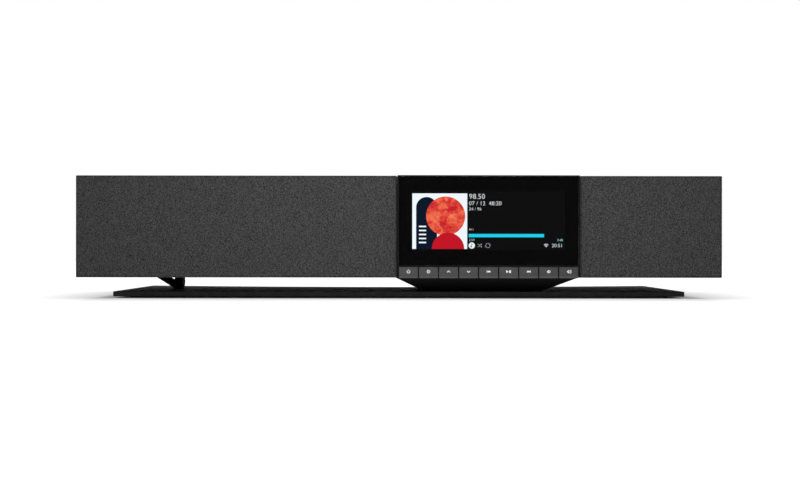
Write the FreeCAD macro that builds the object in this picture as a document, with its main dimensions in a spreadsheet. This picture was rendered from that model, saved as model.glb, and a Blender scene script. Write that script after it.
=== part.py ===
# All-in-one wireless speaker: a long cloth-fronted cabinet with an off-centre display, carried on a
# sloped neck and a small side leg above a thin base plate.
# Frame: millimetres, +X to the listener's right, the front faces -Y, +Z up. The origin is on the floor,
# at the middle of the overall width and depth.
import FreeCAD, Part
import Sketcher
import os

# Driving dimensions: each is one cell of the sheet, and everything below is worked out from them.
SIZES = {
    # whole speaker
    "overall_width": 678.0, "overall_depth": 290.0,
    # base plate and its feet
    "foot_height": 1.7, "foot_length": 60.0, "foot_width": 12.0, "foot_inset": 16.0,
    "plate_thickness": 5.5, "plate_width": 629.8, "plate_setback": 63.0, "plate_side_depth": 219.0,
    "plate_rear_bow": 57.0, "plate_corner": 3.0, "plate_edge": 0.5,
    # neck under the display
    "under_gap": 16.7, "neck_centre": 92.2, "neck_top_width": 192.5, "neck_flare": 32.0,
    "neck_top_front": 6.0, "neck_face_run": 61.0, "neck_top_depth": 214.0, "neck_rear_run": 31.0,
    "neck_wall": 4.0, "neck_post": 12.0, "neck_post_span": 78.0, "neck_post_run": 66.0,
    # side leg
    "leg_centre": -260.6, "leg_foot_width": 7.4, "leg_flare": 27.3, "leg_front": 157.0, "leg_depth": 18.0,
    "leg_bulge": 1.6, "leg_bulge_margin": 5.0, "leg_bulge_round": 12.0, "leg_top_bulge": 0.2,
    "leg_notch_depth": 7.5, "leg_notch_left": 17.4, "leg_notch_right": 2.9, "leg_notch_foot": 4.9,
    # cabinet
    "cabinet_height": 107.0, "wall": 8.0, "rear_corner": 40.0, "edge_bevel": 1.5, "baffle_thickness": 12.0,
    "divider_thickness": 8.0, "divider_margin": 1.0, "divider_clearance": 5.0, "divider_place": -34.0,
    "lead_notch": 12.0,
    # rear panel
    "panel_width": 544.0, "panel_height": 87.0, "panel_thickness": 3.0, "panel_lip": 7.0, "fit_gap": 0.25,
    "bay_width": 204.0, "bay_height": 40.0, "bay_depth": 20.0, "bay_wall": 2.0, "bay_low": 12.0,
    "bay_flange": 2.5, "socket_plate": 2.0,
    "vent_width": 3.0, "vent_height": 16.0, "vent_pitch": 7.0, "vent_count": 27.0, "vent_low": 60.0,
    # grilles
    "module_proud": 3.0, "module_rise": 0.5, "seam": 1.1, "grille_depth": 10.0, "cloth": 0.8,
    "cloth_edge": 0.6, "cloth_return": 9.0, "grille_border": 6.0, "grille_pad": 16.5, "grille_rib": 3.0,
    "grille_rib_depth": 3.2, "tongue_width": 6.0, "tongue_height": 3.0, "tongue_length": 6.0,
    "tongue_clearance": 0.2, "tongue_inset": 5.5,
    # display module
    "module_centre": 93.5, "module_width": 191.0, "rim": 1.0, "glass_thickness": 1.8, "glass_gap": 0.1,
    "housing_floor": 2.5, "ledge": 5.0, "key_zone": 11.7, "divider_bar": 1.0,
    "lcd_margin": 12.5, "lcd_height": 66.0, "lcd_thickness": 3.4, "lcd_middle": 59.0,
    "board": 1.6, "display_board_inset": 8.0, "display_board_rise": 5.0, "board_boss": 1.5,
    "boss_side": 6.0, "boss_inset": 6.0, "ribbon_width": 24.0, "ribbon": 0.4, "ribbon_low": 58.0,
    "ribbon_high": 80.0, "ribbon_slot": 1.5,
    # keys
    "key_gap": 1.0, "key_thickness": 3.5, "key_drop": 0.6, "key_chamfer": 2.2, "key_travel": 0.6,
    "key_recess_gap": 1.0, "key_lip": 1.5, "stem_side": 4.0, "stem_length": 2.1,
    "plunger_side": 3.0, "plunger_length": 1.6, "plunger_clearance": 0.05, "plunger_rest": 0.2,
    "switch_side": 6.0, "switch_height": 3.0, "switch_well": 1.6, "key_board": 1.1,
    "key_board_inset": 3.0, "key_board_low": 2.0, "key_board_high": 0.5,
    # drive units
    "woofer_flange": 37.0, "woofer_land": 5.5, "woofer_coil": 10.4,
    "woofer_basket_depth": 28.0, "woofer_motor": 18.0, "woofer_travel": 3.0,
    "midrange_flange": 28.0, "midrange_land": 3.5, "midrange_coil": 7.3,
    "midrange_basket_depth": 20.0, "midrange_motor": 15.0, "midrange_travel": 1.5,
    "tweeter_flange": 15.5, "tweeter_land": 3.2, "tweeter_crown": 7.4, "tweeter_rise": 1.15,
    "tweeter_depth": 15.0, "tweeter_wall": 1.5,
    "flange_thickness": 3.0, "roll_width": 5.0, "roll_height": 2.4, "skin": 2.0, "skin_setback": 0.6,
    "driver_gap": 0.3, "coil_gap": 0.6, "coil_rest": 1.0, "magnet_plate": 4.0,
    "basket_hole_gap": 0.5, "driver_spacing": 1.0, "driver_end": 38.0,
    "radiator_margin": 5.0, "radiator_width": 156.0, "radiator_flange": 40.0, "radiator_border": 8.0,
    "radiator_skin": 2.5, "radiator_weight": 14.0, "radiator_weight_depth": 5.0,
    # sockets in the rear bay
    "socket_line": 18.0, "socket_proud": 0.5, "socket_shell": 0.5, "socket_depth": 9.5,
    "ethernet_place": 122.0, "ethernet_width": 16.0, "ethernet_height": 13.5, "ethernet_depth": 12.5,
    "ethernet_well_width": 11.8, "ethernet_well_height": 8.2, "latch_width": 6.0, "latch_rise": 1.6,
    "usb_place": 98.0, "usb_width": 13.4, "usb_height": 6.2, "usb_tongue": 1.9, "usb_tongue_drop": 0.8,
    "hdmi_place": 74.0, "hdmi_width": 15.2, "hdmi_height": 6.0, "hdmi_tongue": 1.2,
    "hdmi_tongue_drop": 1.9, "tongue_side": 1.2, "tongue_recess": 1.0,
    "optical_place": 51.0, "optical_width": 10.0, "optical_height": 10.0, "optical_well": 7.4,
    "optical_depth": 9.0, "shutter": 0.5, "shutter_recess": 0.4, "shutter_gap": 0.25,
    "inlet_place": 160.0, "inlet_width": 27.4, "inlet_height": 19.6, "inlet_wall": 1.5,
    "inlet_flange": 2.2, "inlet_flange_rise": 2.0, "inlet_depth": 16.0, "inlet_back": 2.5,
    "pin_width": 2.0, "pin_height": 4.0, "pin_spacing": 7.0, "pin_offset": 2.0, "pin_recess": 4.0,
    "jack_place": 24.0, "jack_radius": 4.15, "jack_length": 9.0, "jack_bore": 1.6,
    # boards inside
    "main_board_gap": 13.0, "main_board_low": 8.0, "main_board_high": 6.0, "inlet_clearance": 3.0,
    "radio_left": 20.0, "radio_width": 36.0, "radio_low": 50.0, "radio_height": 28.0,
    "radio_thickness": 3.2, "board_front": 25.0, "board_rear": 38.4, "board_margin": 1.0,
    "board_spacing": 8.0, "supply_width": 96.0, "amplifier_width": 84.0,
    "standoff": 7.0, "standoff_side": 6.0, "standoff_inset": 5.0,
    "transformer_left": 30.0, "transformer_width": 36.0, "transformer_front": 60.0,
    "transformer_depth": 32.0, "transformer_height": 28.0,
    "reservoir_radius": 12.0, "reservoir_left": 38.0, "reservoir_front": 30.0, "reservoir_height": 30.0,
    "chip_left": 28.0, "chip_side": 22.0, "chip_front": 50.0, "chip_height": 3.4,
    "choke_count": 4.0, "choke_side": 12.0, "choke_pitch": 18.0, "choke_left": 8.0, "choke_rear": 24.0,
    "choke_height": 10.0,
    "fin_count": 9.0, "fin": 2.0, "fin_height": 26.0, "sink_width": 66.0, "sink_front": 20.0,
    "sink_gap": 19.0, "sink_base": 4.0,
    # how far a cutting shape runs past the face that it opens
    "overrun": 1.0,
}

doc = FreeCAD.newDocument("wireless_speaker")
sheet = doc.addObject("Spreadsheet::Sheet", "Sizes")
for row, (alias, size) in enumerate(SIZES.items(), start=1):
    sheet.set(f"A{row}", alias)
    sheet.set(f"B{row}", str(size))
    sheet.setAlias(f"B{row}", alias)
doc.recompute()


class Length:
    """A length that knows its value and the expression that gives it from the sheet's cells."""

    def __init__(self, value, text):
        self.value = value
        self.text = text

    def __add__(self, other):
        other = length(other)
        return Length(self.value + other.value, f"({self.text} + {other.text})")

    def __radd__(self, other):
        return length(other) + self

    def __sub__(self, other):
        other = length(other)
        return Length(self.value - other.value, f"({self.text} - {other.text})")

    def __rsub__(self, other):
        return length(other) - self

    def __mul__(self, other):
        other = length(other)
        return Length(self.value * other.value, f"({self.text} * {other.text})")

    def __rmul__(self, other):
        return length(other) * self

    def __truediv__(self, other):
        other = length(other)
        return Length(self.value / other.value, f"({self.text} / {other.text})")

    def __neg__(self):
        return Length(-self.value, f"(-1 * {self.text})")


def length(item):
    """Turns a plain number into a Length."""
    return item if isinstance(item, Length) else Length(float(item), str(item))


def cell(alias):
    """The length held by one cell of the sheet."""
    return Length(SIZES[alias], f"Sizes.{alias}")


NODES = []


def node(obj, label):
    """Names an object as a separate piece of the speaker, to be written out under that name."""
    obj.Label = label
    NODES.append(obj)
    return obj


def put(obj, x, y, z):
    """Binds an object's place to three lengths."""
    for axis, where in zip("xyz", (x, y, z)):
        obj.setExpression(f"Placement.Base.{axis}", length(where).text)
    return obj


# Primitives and booleans

def block(name, x0, x1, y0, y1, z0, z1):
    """A rectangular solid between pairs of planes."""
    box = doc.addObject("Part::Box", name)
    for side, low, high in (("Length", x0, x1), ("Width", y0, y1), ("Height", z0, z1)):
        box.setExpression(side, (high - low).text)
    return put(box, x0, y0, z0)


def post(name, radius, x, y, z0, z1):
    """A cylinder along Z, from z0 to z1."""
    pin = doc.addObject("Part::Cylinder", name)
    pin.setExpression("Radius", length(radius).text)
    pin.setExpression("Height", (z1 - z0).text)
    return put(pin, x, y, z0)


def fuse(name, parts):
    """Several solids joined into one."""
    joined = doc.addObject("Part::MultiFuse", name)
    joined.Shapes = parts
    return joined


def cut(name, base, tools):
    """A solid with other solids taken away."""
    result = doc.addObject("Part::Cut", name)
    result.Base = base
    result.Tool = tools[0] if len(tools) == 1 else fuse(f"{name}_tools", tools)
    return result


def group(name, parts):
    """Separate solids that share one node."""
    together = doc.addObject("Part::Compound", name)
    together.Links = parts
    return together


# Sketches and features

def new_body(name, x=0, y=0, z=0):
    """An empty body at a bound place."""
    return put(doc.addObject("PartDesign::Body", name), x, y, z)


def sketch_on(body, plane, offset=0):
    """A sketch on one of the body's own planes, moved along the plane's normal."""
    sketch = body.newObject("Sketcher::SketchObject", f"{body.Name}_sketch")
    origin = next(f for f in body.Origin.OriginFeatures if f.Role == plane)
    sketch.AttachmentSupport = [(origin, "")]
    sketch.MapMode = "FlatFace"
    sketch.setExpression("AttachmentOffset.Base.z", length(offset).text)
    return sketch


def constrain(sketch, kind, *items):
    """Adds one dimension whose last item is a Length, and binds it to the sheet."""
    *where, size = items
    index = sketch.addConstraint(Sketcher.Constraint(kind, *where, size.value))
    sketch.setExpression(f"Constraints[{index}]", size.text)


def tie(sketch, kind, *items):
    """Adds one geometric constraint."""
    sketch.addConstraint(Sketcher.Constraint(kind, *items))


def pin_point(sketch, edge, end, x, y):
    """Fixes one end of an edge at bound distances from the sketch's origin."""
    for kind, axis, where in (("DistanceX", -2, length(x)), ("DistanceY", -1, length(y))):
        if where.value == 0:
            tie(sketch, "PointOnObject", edge, end, axis)
        else:
            constrain(sketch, kind, -1, 1, edge, end, where)


def add_line(sketch, start, end):
    """A straight edge between two points given as pairs of lengths."""
    ends = [FreeCAD.Vector(length(p[0]).value, length(p[1]).value, 0) for p in (start, end)]
    return sketch.addGeometry(Part.LineSegment(*ends), False)


def add_arc(sketch, start, middle, end):
    """An arc drawn anticlockwise through three points given as pairs of lengths."""
    points = [FreeCAD.Vector(length(p[0]).value, length(p[1]).value, 0) for p in (start, middle, end)]
    return sketch.addGeometry(Part.Arc(*points), False)


def join_ends(sketch, edges):
    """Joins a chain of edges end to end into one closed outline."""
    for this, after in zip(edges, edges[1:] + edges[:1]):
        tie(sketch, "Coincident", this[1], this[2], after[1], after[0])


def add_polygon(sketch, corners):
    """A closed outline through corners given as pairs of lengths."""
    edges = [add_line(sketch, a, b) for a, b in zip(corners, corners[1:] + corners[:1])]
    for this, after in zip(edges, edges[1:] + edges[:1]):
        tie(sketch, "Coincident", this, 2, after, 1)
    for edge, (x, y) in zip(edges, corners):
        pin_point(sketch, edge, 1, x, y)
    return edges


def add_rectangle(sketch, x0, x1, y0, y1):
    """A closed rectangle between pairs of lines."""
    return add_polygon(sketch, [(x0, y0), (x1, y0), (x1, y1), (x0, y1)])


def add_circle(sketch, x, y, radius):
    """A circle with a bound centre and radius."""
    x, y, radius = length(x), length(y), length(radius)
    centre = FreeCAD.Vector(x.value, y.value, 0)
    edge = sketch.addGeometry(Part.Circle(centre, FreeCAD.Vector(0, 0, 1), radius.value), False)
    constrain(sketch, "Radius", edge, radius)
    pin_point(sketch, edge, 3, x, y)


def feature(body, kind, sketch, **settings):
    """A sketch-based feature. A Length setting is bound to the sheet, and a cut must remove something."""
    doc.recompute()
    before = body.Shape.Volume if not body.Shape.isNull() else 0.0
    made = body.newObject(f"PartDesign::{kind}", f"{body.Name}_{kind.lower()}")
    made.Profile = sketch
    for name, setting in settings.items():
        if isinstance(setting, Length):
            made.setExpression(name, setting.text)
        else:
            setattr(made, name, setting)
    doc.recompute()
    removes = kind in ("Pocket", "Groove", "SubtractiveLoft")
    if (made.Shape.Volume < before) != removes:
        raise ValueError(f"{made.Name} changed the volume the wrong way")
    return made


def dress(body, kind, size, picks):
    """A fillet or chamfer on the edges of the body's tip that a test picks."""
    doc.recompute()
    tip = body.Tip
    names = [f"Edge{i}" for i, edge in enumerate(tip.Shape.Edges, start=1) if picks(edge)]
    made = body.newObject(f"PartDesign::{kind}", f"{body.Name}_{kind.lower()}")
    made.Base = (tip, names)
    made.setExpression("Radius" if kind == "Fillet" else "Size", size.text)
    return made


def pattern(body, kind, original, **settings):
    """Repeats a feature in a line or round an axis, and makes the result the body's tip."""
    made = body.newObject(f"PartDesign::{kind}", f"{body.Name}_{kind.lower()}")
    made.Originals = [original]
    for name, setting in settings.items():
        if isinstance(setting, Length):
            made.setExpression(name, setting.text)
        else:
            setattr(made, name, setting)
    body.Tip = made
    return made


def turned(name, corners, x, y, z):
    """A solid of revolution about Y. Its outline is pairs of radius and depth behind the place given."""
    body = new_body(name, x, y, z)
    sketch = sketch_on(body, "XY_Plane")
    add_polygon(sketch, corners)
    feature(body, "Revolution", sketch, ReferenceAxis=(sketch, ["V_Axis"]), Angle=360.0)
    return body


def runs_along(edge, axis):
    """Whether an edge is straight and lies along an axis, given as 0, 1 or 2."""
    if not isinstance(edge.Curve, Part.Line):
        return False
    across = [abs(edge.Curve.Direction[i]) for i in range(3) if i != axis]
    return max(across) < 1e-6


def near(value, target):
    """Whether two coordinates are the same to a hundredth of a millimetre."""
    return abs(value - length(target).value) < 0.01


# Main planes, from the driving dimensions
half_width = cell("overall_width") / 2
module_front = -(cell("overall_depth") / 2)
rear = cell("overall_depth") / 2
grille_front = module_front + cell("module_proud")
baffle_front = grille_front + cell("grille_depth")
baffle_back = baffle_front + cell("baffle_thickness")
rear_wall_front = rear - cell("wall")

plate_bottom = cell("foot_height")
plate_top = plate_bottom + cell("plate_thickness")
cabinet_bottom = plate_top + cell("under_gap")
cabinet_top = cabinet_bottom + cell("cabinet_height")
inside_bottom = cabinet_bottom + cell("wall")
inside_top = cabinet_top - cell("wall")
inside_half = half_width - cell("wall")
middle_height = cabinet_bottom + cell("cabinet_height") / 2
module_top = cabinet_top + cell("module_rise")
module_left = cell("module_centre") - cell("module_width") / 2
module_right = cell("module_centre") + cell("module_width") / 2

plate_front = module_front + cell("plate_setback")
plate_rear = plate_front + cell("plate_side_depth")
overrun = cell("overrun")


# Base plate, with a straight front and a hollow-curved rear edge

foot_x = cell("plate_width") / 2 - cell("foot_inset") - cell("foot_length") / 2
foot_front = plate_front + cell("foot_inset")
foot_rear = plate_rear - 2 * cell("foot_inset") - cell("foot_width")
feet_places = [(-foot_x, foot_front), (0, foot_front), (foot_x, foot_front), (-foot_x, foot_rear),
               (foot_x, foot_rear)]


def make_base_plate():
    body = new_body("base_plate")
    sketch = sketch_on(body, "XY_Plane", plate_bottom)
    side = cell("plate_width") / 2
    bow = cell("plate_rear_bow")
    radius = (side * side + bow * bow) / (2 * bow)
    corner = {"front_left": (-side, plate_front), "front_right": (side, plate_front),
              "rear_right": (side, plate_rear), "rear_left": (-side, plate_rear)}
    front = add_line(sketch, corner["front_left"], corner["front_right"])
    right = add_line(sketch, corner["front_right"], corner["rear_right"])
    back = add_arc(sketch, corner["rear_left"], (0, plate_rear - bow), corner["rear_right"])
    constrain(sketch, "Radius", back, radius)
    left = add_line(sketch, corner["rear_left"], corner["front_left"])
    join_ends(sketch, [(1, front, 2), (1, right, 2), (2, back, 1), (1, left, 2)])
    pin_point(sketch, front, 1, *corner["front_left"])
    pin_point(sketch, right, 1, *corner["front_right"])
    pin_point(sketch, back, 2, *corner["rear_right"])
    pin_point(sketch, left, 1, *corner["rear_left"])
    feature(body, "Pad", sketch, Length=cell("plate_thickness"))
    dress(body, "Fillet", cell("plate_corner"), lambda e: runs_along(e, 2))
    doc.recompute()
    dress(body, "Chamfer", cell("plate_edge"),
          lambda e: near(e.BoundBox.ZMin, plate_top) and near(e.BoundBox.ZMax, plate_top))
    node(body, "base_plate")


def make_base_feet():
    half, wide = cell("foot_length") / 2, cell("foot_width")
    feet = [
        block(f"foot_{i}", x - half, x + half, y, y + wide, length(0), plate_bottom)
        for i, (x, y) in enumerate(feet_places, start=1)
    ]
    node(group("feet_group", feet), "base_feet")


# Neck under the display, a hollow casting that flares up to the cabinet

neck_foot_depth = cell("neck_top_depth") - cell("neck_face_run") - cell("neck_rear_run")


def make_neck():
    body = new_body("pedestal_neck")
    centre, half = cell("neck_centre"), cell("neck_top_width") / 2
    foot_half = half - cell("neck_flare")
    front = module_front + cell("neck_top_front")
    back = front + cell("neck_top_depth")
    face = sketch_on(body, "XZ_Plane", -front)
    add_polygon(face, [(centre - foot_half, plate_top), (centre + foot_half, plate_top),
                       (centre + half, cabinet_bottom), (centre - half, cabinet_bottom)])
    feature(body, "Pad", face, Length=cell("neck_top_depth"), Reversed=True)
    slopes = sketch_on(body, "YZ_Plane", centre)
    add_polygon(slopes, [(front, plate_top), (front + cell("neck_face_run"), plate_top),
                         (front, cabinet_bottom)])
    add_polygon(slopes, [(back - cell("neck_rear_run"), plate_top), (back, plate_top),
                         (back, cabinet_bottom)])
    feature(body, "Pocket", slopes, Length=cell("neck_top_width"), Midplane=True)
    doc.recompute()
    tip = body.Tip
    under = [f"Face{i}" for i, side in enumerate(tip.Shape.Faces, start=1)
             if near(side.BoundBox.ZMin, plate_top) and near(side.BoundBox.ZMax, plate_top)]
    hollow = body.newObject("PartDesign::Thickness", "pedestal_neck_hollow")
    hollow.Base = (tip, under)
    hollow.setExpression("Value", cell("neck_wall").text)
    hollow.Reversed = True
    hollow.Join = 1
    doc.recompute()
    posts = sketch_on(body, "XY_Plane", plate_top)
    middle = front + cell("neck_face_run") + neck_foot_depth / 2
    side = cell("neck_post") / 2
    for sx in (-1, 1):
        for sy in (-1, 1):
            x = centre + sx * cell("neck_post_span") / 2
            y = middle + sy * cell("neck_post_run") / 2
            add_rectangle(posts, x - side, x + side, y - side, y + side)
    feature(body, "Pad", posts, Length=cell("under_gap") - cell("neck_wall") / 2)
    node(body, "pedestal_neck")


# Side leg, a forked blade with one sloped and one bellied flank

leg_front = grille_front + cell("leg_front")


def make_leg():
    body = new_body("support_leg")
    sketch = sketch_on(body, "XZ_Plane", -leg_front)
    centre, half = cell("leg_centre"), cell("leg_foot_width") / 2
    left, right = centre - half, centre + half
    belly = right + cell("leg_bulge")
    add_polygon(sketch, [
        (left, plate_top), (right, plate_top), (belly, plate_top + cell("leg_bulge_margin")),
        (belly, cabinet_bottom - cell("leg_bulge_margin")), (right + cell("leg_top_bulge"), cabinet_bottom),
        (centre - cell("leg_notch_right"), cabinet_bottom),
        (centre - cell("leg_notch_foot"), cabinet_bottom - cell("leg_notch_depth")),
        (centre - cell("leg_notch_left"), cabinet_bottom), (left - cell("leg_flare"), cabinet_bottom),
    ])
    feature(body, "Pad", sketch, Length=cell("leg_depth"), Reversed=True)
    dress(body, "Fillet", cell("leg_bulge_round"),
          lambda e: runs_along(e, 1) and near(e.BoundBox.XMax, belly))
    node(body, "support_leg")


# Cabinet wrap: top, bottom, ends and rounded rear corners in one shell, open at the front

panel_half = cell("panel_width") / 2
panel_low = middle_height - cell("panel_height") / 2
panel_high = middle_height + cell("panel_height") / 2
opening_half = panel_half - cell("panel_lip")
opening_low = panel_low + cell("panel_lip")
opening_high = panel_high - cell("panel_lip")


def make_cabinet_wrap():
    body = new_body("cabinet_wrap")
    plan = sketch_on(body, "XY_Plane", cabinet_bottom)
    add_rectangle(plan, -half_width, half_width, baffle_front, rear)
    feature(body, "Pad", plan, Length=cell("cabinet_height"))
    dress(body, "Fillet", cell("rear_corner"),
          lambda e: runs_along(e, 2) and near(e.BoundBox.YMax, rear))
    doc.recompute()
    dress(body, "Chamfer", cell("edge_bevel"), is_wrap_rim)
    cavity = sketch_on(body, "XY_Plane", inside_bottom)
    inner_corner = cell("rear_corner") - cell("wall")
    front = baffle_front - cell("wall")
    corner_x, corner_y = inside_half - inner_corner, rear_wall_front - inner_corner
    diagonal = inner_corner * (1 - 0.5 ** 0.5)
    bend_x, bend_y = inside_half - diagonal, rear_wall_front - diagonal
    open_edge = add_line(cavity, (-inside_half, front), (inside_half, front))
    right = add_line(cavity, (inside_half, front), (inside_half, corner_y))
    right_bend = add_arc(cavity, (inside_half, corner_y), (bend_x, bend_y), (corner_x, rear_wall_front))
    back = add_line(cavity, (corner_x, rear_wall_front), (-corner_x, rear_wall_front))
    left_bend = add_arc(cavity, (-corner_x, rear_wall_front), (-bend_x, bend_y), (-inside_half, corner_y))
    for bend in (right_bend, left_bend):
        constrain(cavity, "Radius", bend, inner_corner)
    left = add_line(cavity, (-inside_half, corner_y), (-inside_half, front))
    join_ends(cavity, [(1, open_edge, 2), (1, right, 2), (1, right_bend, 2), (1, back, 2),
                       (1, left_bend, 2), (1, left, 2)])
    for edge, place in ((open_edge, (-inside_half, front)), (right, (inside_half, front)),
                        (right_bend, (inside_half, corner_y)), (back, (corner_x, rear_wall_front)),
                        (left_bend, (-corner_x, rear_wall_front)), (left, (-inside_half, corner_y))):
        pin_point(cavity, edge, 1, *place)
    feature(body, "Pocket", cavity, Length=cell("cabinet_height") - 2 * cell("wall"), Reversed=True)
    rebate = sketch_on(body, "XZ_Plane", -rear)
    gap = cell("fit_gap")
    add_rectangle(rebate, -panel_half - gap, panel_half + gap, panel_low - gap, panel_high + gap)
    feature(body, "Pocket", rebate, Length=cell("panel_thickness"), Reversed=True)
    opening = sketch_on(body, "XZ_Plane", -rear)
    add_rectangle(opening, -opening_half, opening_half, opening_low, opening_high)
    feature(body, "Pocket", opening, Length=cell("wall") + overrun, Reversed=True)
    node(body, "cabinet_wrap")


def is_wrap_rim(edge):
    """Whether an edge is on the top or bottom rim of the wrap, at its ends or its rear."""
    box = edge.BoundBox
    level = near(box.ZMin, box.ZMax) and (near(box.ZMin, cabinet_bottom) or near(box.ZMin, cabinet_top))
    return level and not near(box.YMax, baffle_front)


# Places of the drive units: a midrange with a tweeter over it at each end, a woofer inboard of each pair,
# and a wide bass radiator between the left woofer and the display

outer_place = half_width - cell("driver_end")
woofer_place = outer_place - cell("midrange_flange") - cell("driver_spacing") - cell("woofer_flange")
midrange_height = inside_bottom + cell("driver_spacing") + cell("midrange_flange")
tweeter_height = midrange_height + cell("midrange_flange") + cell("driver_spacing") + cell("tweeter_flange")
radiator_place = cell("divider_place") - cell("radiator_margin") - cell("radiator_width") / 2
SIDES = (("left", -1), ("right", 1))

left_grille = (-half_width, module_left - cell("seam"))
right_grille = (module_right + cell("seam"), half_width)


def tongue_places(grille):
    """Where a grille's four tongues enter the baffle."""
    left, right = grille
    outer = cell("wall") + cell("tongue_inset")
    inner = cell("grille_pad") / 2
    near_end = left + (outer if grille is left_grille else inner)
    far_end = right - (outer if grille is right_grille else inner)
    return [(x, z) for x in (near_end, far_end)
            for z in (inside_bottom + cell("tongue_inset"), inside_top - cell("tongue_inset"))]


def diaphragm_radius(kind):
    """Radius of a drive unit's flat diaphragm, inside its surround and the flange's land."""
    return cell(f"{kind}_flange") - cell(f"{kind}_land") - cell("roll_width")


def basket_radius(kind):
    """Outer radius of a drive unit's basket where it passes the baffle."""
    return diaphragm_radius(kind) + cell("roll_width") - cell("driver_gap")


def make_front_baffle():
    body = new_body("front_baffle")
    face = sketch_on(body, "XZ_Plane", -baffle_front)
    add_rectangle(face, -inside_half, inside_half, inside_bottom, inside_top)
    feature(body, "Pad", face, Length=cell("baffle_thickness"), Reversed=True)
    holes = sketch_on(body, "XZ_Plane", -baffle_front)
    gap = cell("basket_hole_gap")
    for _, side in SIDES:
        add_circle(holes, side * woofer_place, middle_height, basket_radius("woofer") + gap)
        outer = side * outer_place
        add_circle(holes, outer, midrange_height, basket_radius("midrange") + gap)
        add_circle(holes, outer, tweeter_height, cell("tweeter_flange") - cell("tweeter_wall") + gap)
    add_racetrack(holes, cell("radiator_border") - gap)
    half_ribbon = cell("ribbon_width") / 2 + cell("ribbon_slot")
    ribbon_height = cabinet_bottom + cell("ribbon_low")
    add_rectangle(holes, cell("module_centre") - half_ribbon, cell("module_centre") + half_ribbon,
                  ribbon_height - cell("ribbon_slot"), ribbon_height + cell("ribbon_slot"))
    feature(body, "Pocket", holes, Length=cell("baffle_thickness") + overrun)
    sockets = sketch_on(body, "XZ_Plane", -baffle_front)
    wide = cell("tongue_width") / 2 + cell("tongue_clearance")
    tall = cell("tongue_height") / 2 + cell("tongue_clearance")
    for grille in (left_grille, right_grille):
        for x, z in tongue_places(grille):
            add_rectangle(sockets, x - wide, x + wide, z - tall, z + tall)
    feature(body, "Pocket", sockets, Length=cell("tongue_length") + overrun)
    node(body, "front_baffle")


def make_dividers():
    made = []
    right = bay_right + cell("bay_wall") + cell("divider_clearance")
    for name, x0 in (("left", cell("divider_place")), ("right", right)):
        x1 = x0 + cell("divider_thickness")
        wall = block(f"{name}_wall", x0, x1, baffle_back, rear_wall_front, inside_bottom, inside_top)
        notch_start = baffle_back + cell("board_front")
        notch = block(f"{name}_notch", x0 - overrun, x1 + overrun, notch_start,
                      notch_start + cell("lead_notch"), inside_top - cell("lead_notch"),
                      inside_top + overrun)
        made.append(cut(f"{name}_divider", wall, [notch]))
    node(group("dividers_group", made), "chamber_dividers")


# Round drive units: a flat diaphragm on a coil former, in a frame that carries the magnet

def make_drive_units(kind, place, height):
    """The frames as one group, the surrounds, and each diaphragm as a piece of its own."""
    disc, coil, flange = diaphragm_radius(kind), cell(f"{kind}_coil"), cell(f"{kind}_flange")
    depth = cell(f"{kind}_basket_depth")
    end, travel = depth + cell(f"{kind}_motor"), cell(f"{kind}_travel")
    thick, skin, gap = cell("flange_thickness"), cell("skin"), cell("driver_gap")
    bore, well = disc + gap, coil + cell("coil_gap")
    front = -thick + cell("skin_setback")
    can = basket_radius(kind)
    frame = [
        (bore, -thick), (flange, -thick), (flange, 0), (can, 0), (can, end), (0, end),
        (0, end - cell("magnet_plate")), (well, end - cell("magnet_plate")), (well, depth), (bore, depth),
    ]
    roll = [(bore, -thick), (bore + cell("roll_width") / 2, -thick - cell("roll_height")),
            (bore + cell("roll_width"), -thick)]
    former_end = end - cell("magnet_plate") - travel - cell("coil_rest")
    diaphragm = [(0, front), (disc, front), (disc, front + skin), (coil, front + skin),
                 (coil, former_end), (0, former_end)]
    frames, rolls = [], []
    for name, side in SIDES:
        at = (side * place, baffle_front, height)
        frames.append(turned(f"{name}_{kind}_frame", frame, *at))
        rolls.append(turned(f"{name}_{kind}_roll", roll, *at))
        node(turned(f"{name}_{kind}_skin", diaphragm, *at), f"{name}_{kind}_diaphragm")
    node(group(f"{kind}_frames_group", frames), f"{kind}_frames")
    return rolls


def make_tweeters():
    flange, depth = cell("tweeter_flange"), cell("tweeter_depth")
    thick, can = cell("flange_thickness"), flange - cell("tweeter_wall")
    crown = -thick - cell("tweeter_rise")
    outline = [
        (0, crown), (cell("tweeter_crown"), crown), (flange - cell("tweeter_land"), -thick),
        (flange, -thick), (flange, 0), (can, 0), (can, depth), (0, depth),
    ]
    made = [
        turned(f"{name}_tweeter", outline, side * outer_place, baffle_front, tweeter_height)
        for name, side in SIDES
    ]
    node(group("tweeters_group", made), "tweeters")


# Bass radiator, an oval plate that the woofers' pressure moves

def add_racetrack(sketch, inset):
    """An oval with straight sides and round ends, drawn inside the radiator's outline by an inset."""
    end = cell("radiator_flange") - inset
    run = cell("radiator_width") / 2 - cell("radiator_flange")
    left, right = radiator_place - run, radiator_place + run
    low, high = middle_height - end, middle_height + end
    bottom = add_line(sketch, (left, low), (right, low))
    right_end = add_arc(sketch, (right, low), (right + end, middle_height), (right, high))
    top = add_line(sketch, (right, high), (left, high))
    left_end = add_arc(sketch, (left, high), (left - end, middle_height), (left, low))
    join_ends(sketch, [(1, bottom, 2), (1, right_end, 2), (1, top, 2), (1, left_end, 2)])
    for edge, place in ((bottom, (left, low)), (right_end, (right, low)), (top, (right, high)),
                        (left_end, (left, high))):
        pin_point(sketch, edge, 1, *place)
    constrain(sketch, "DistanceX", -1, 1, right_end, 3, right)
    constrain(sketch, "DistanceX", -1, 1, left_end, 3, left)


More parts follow.
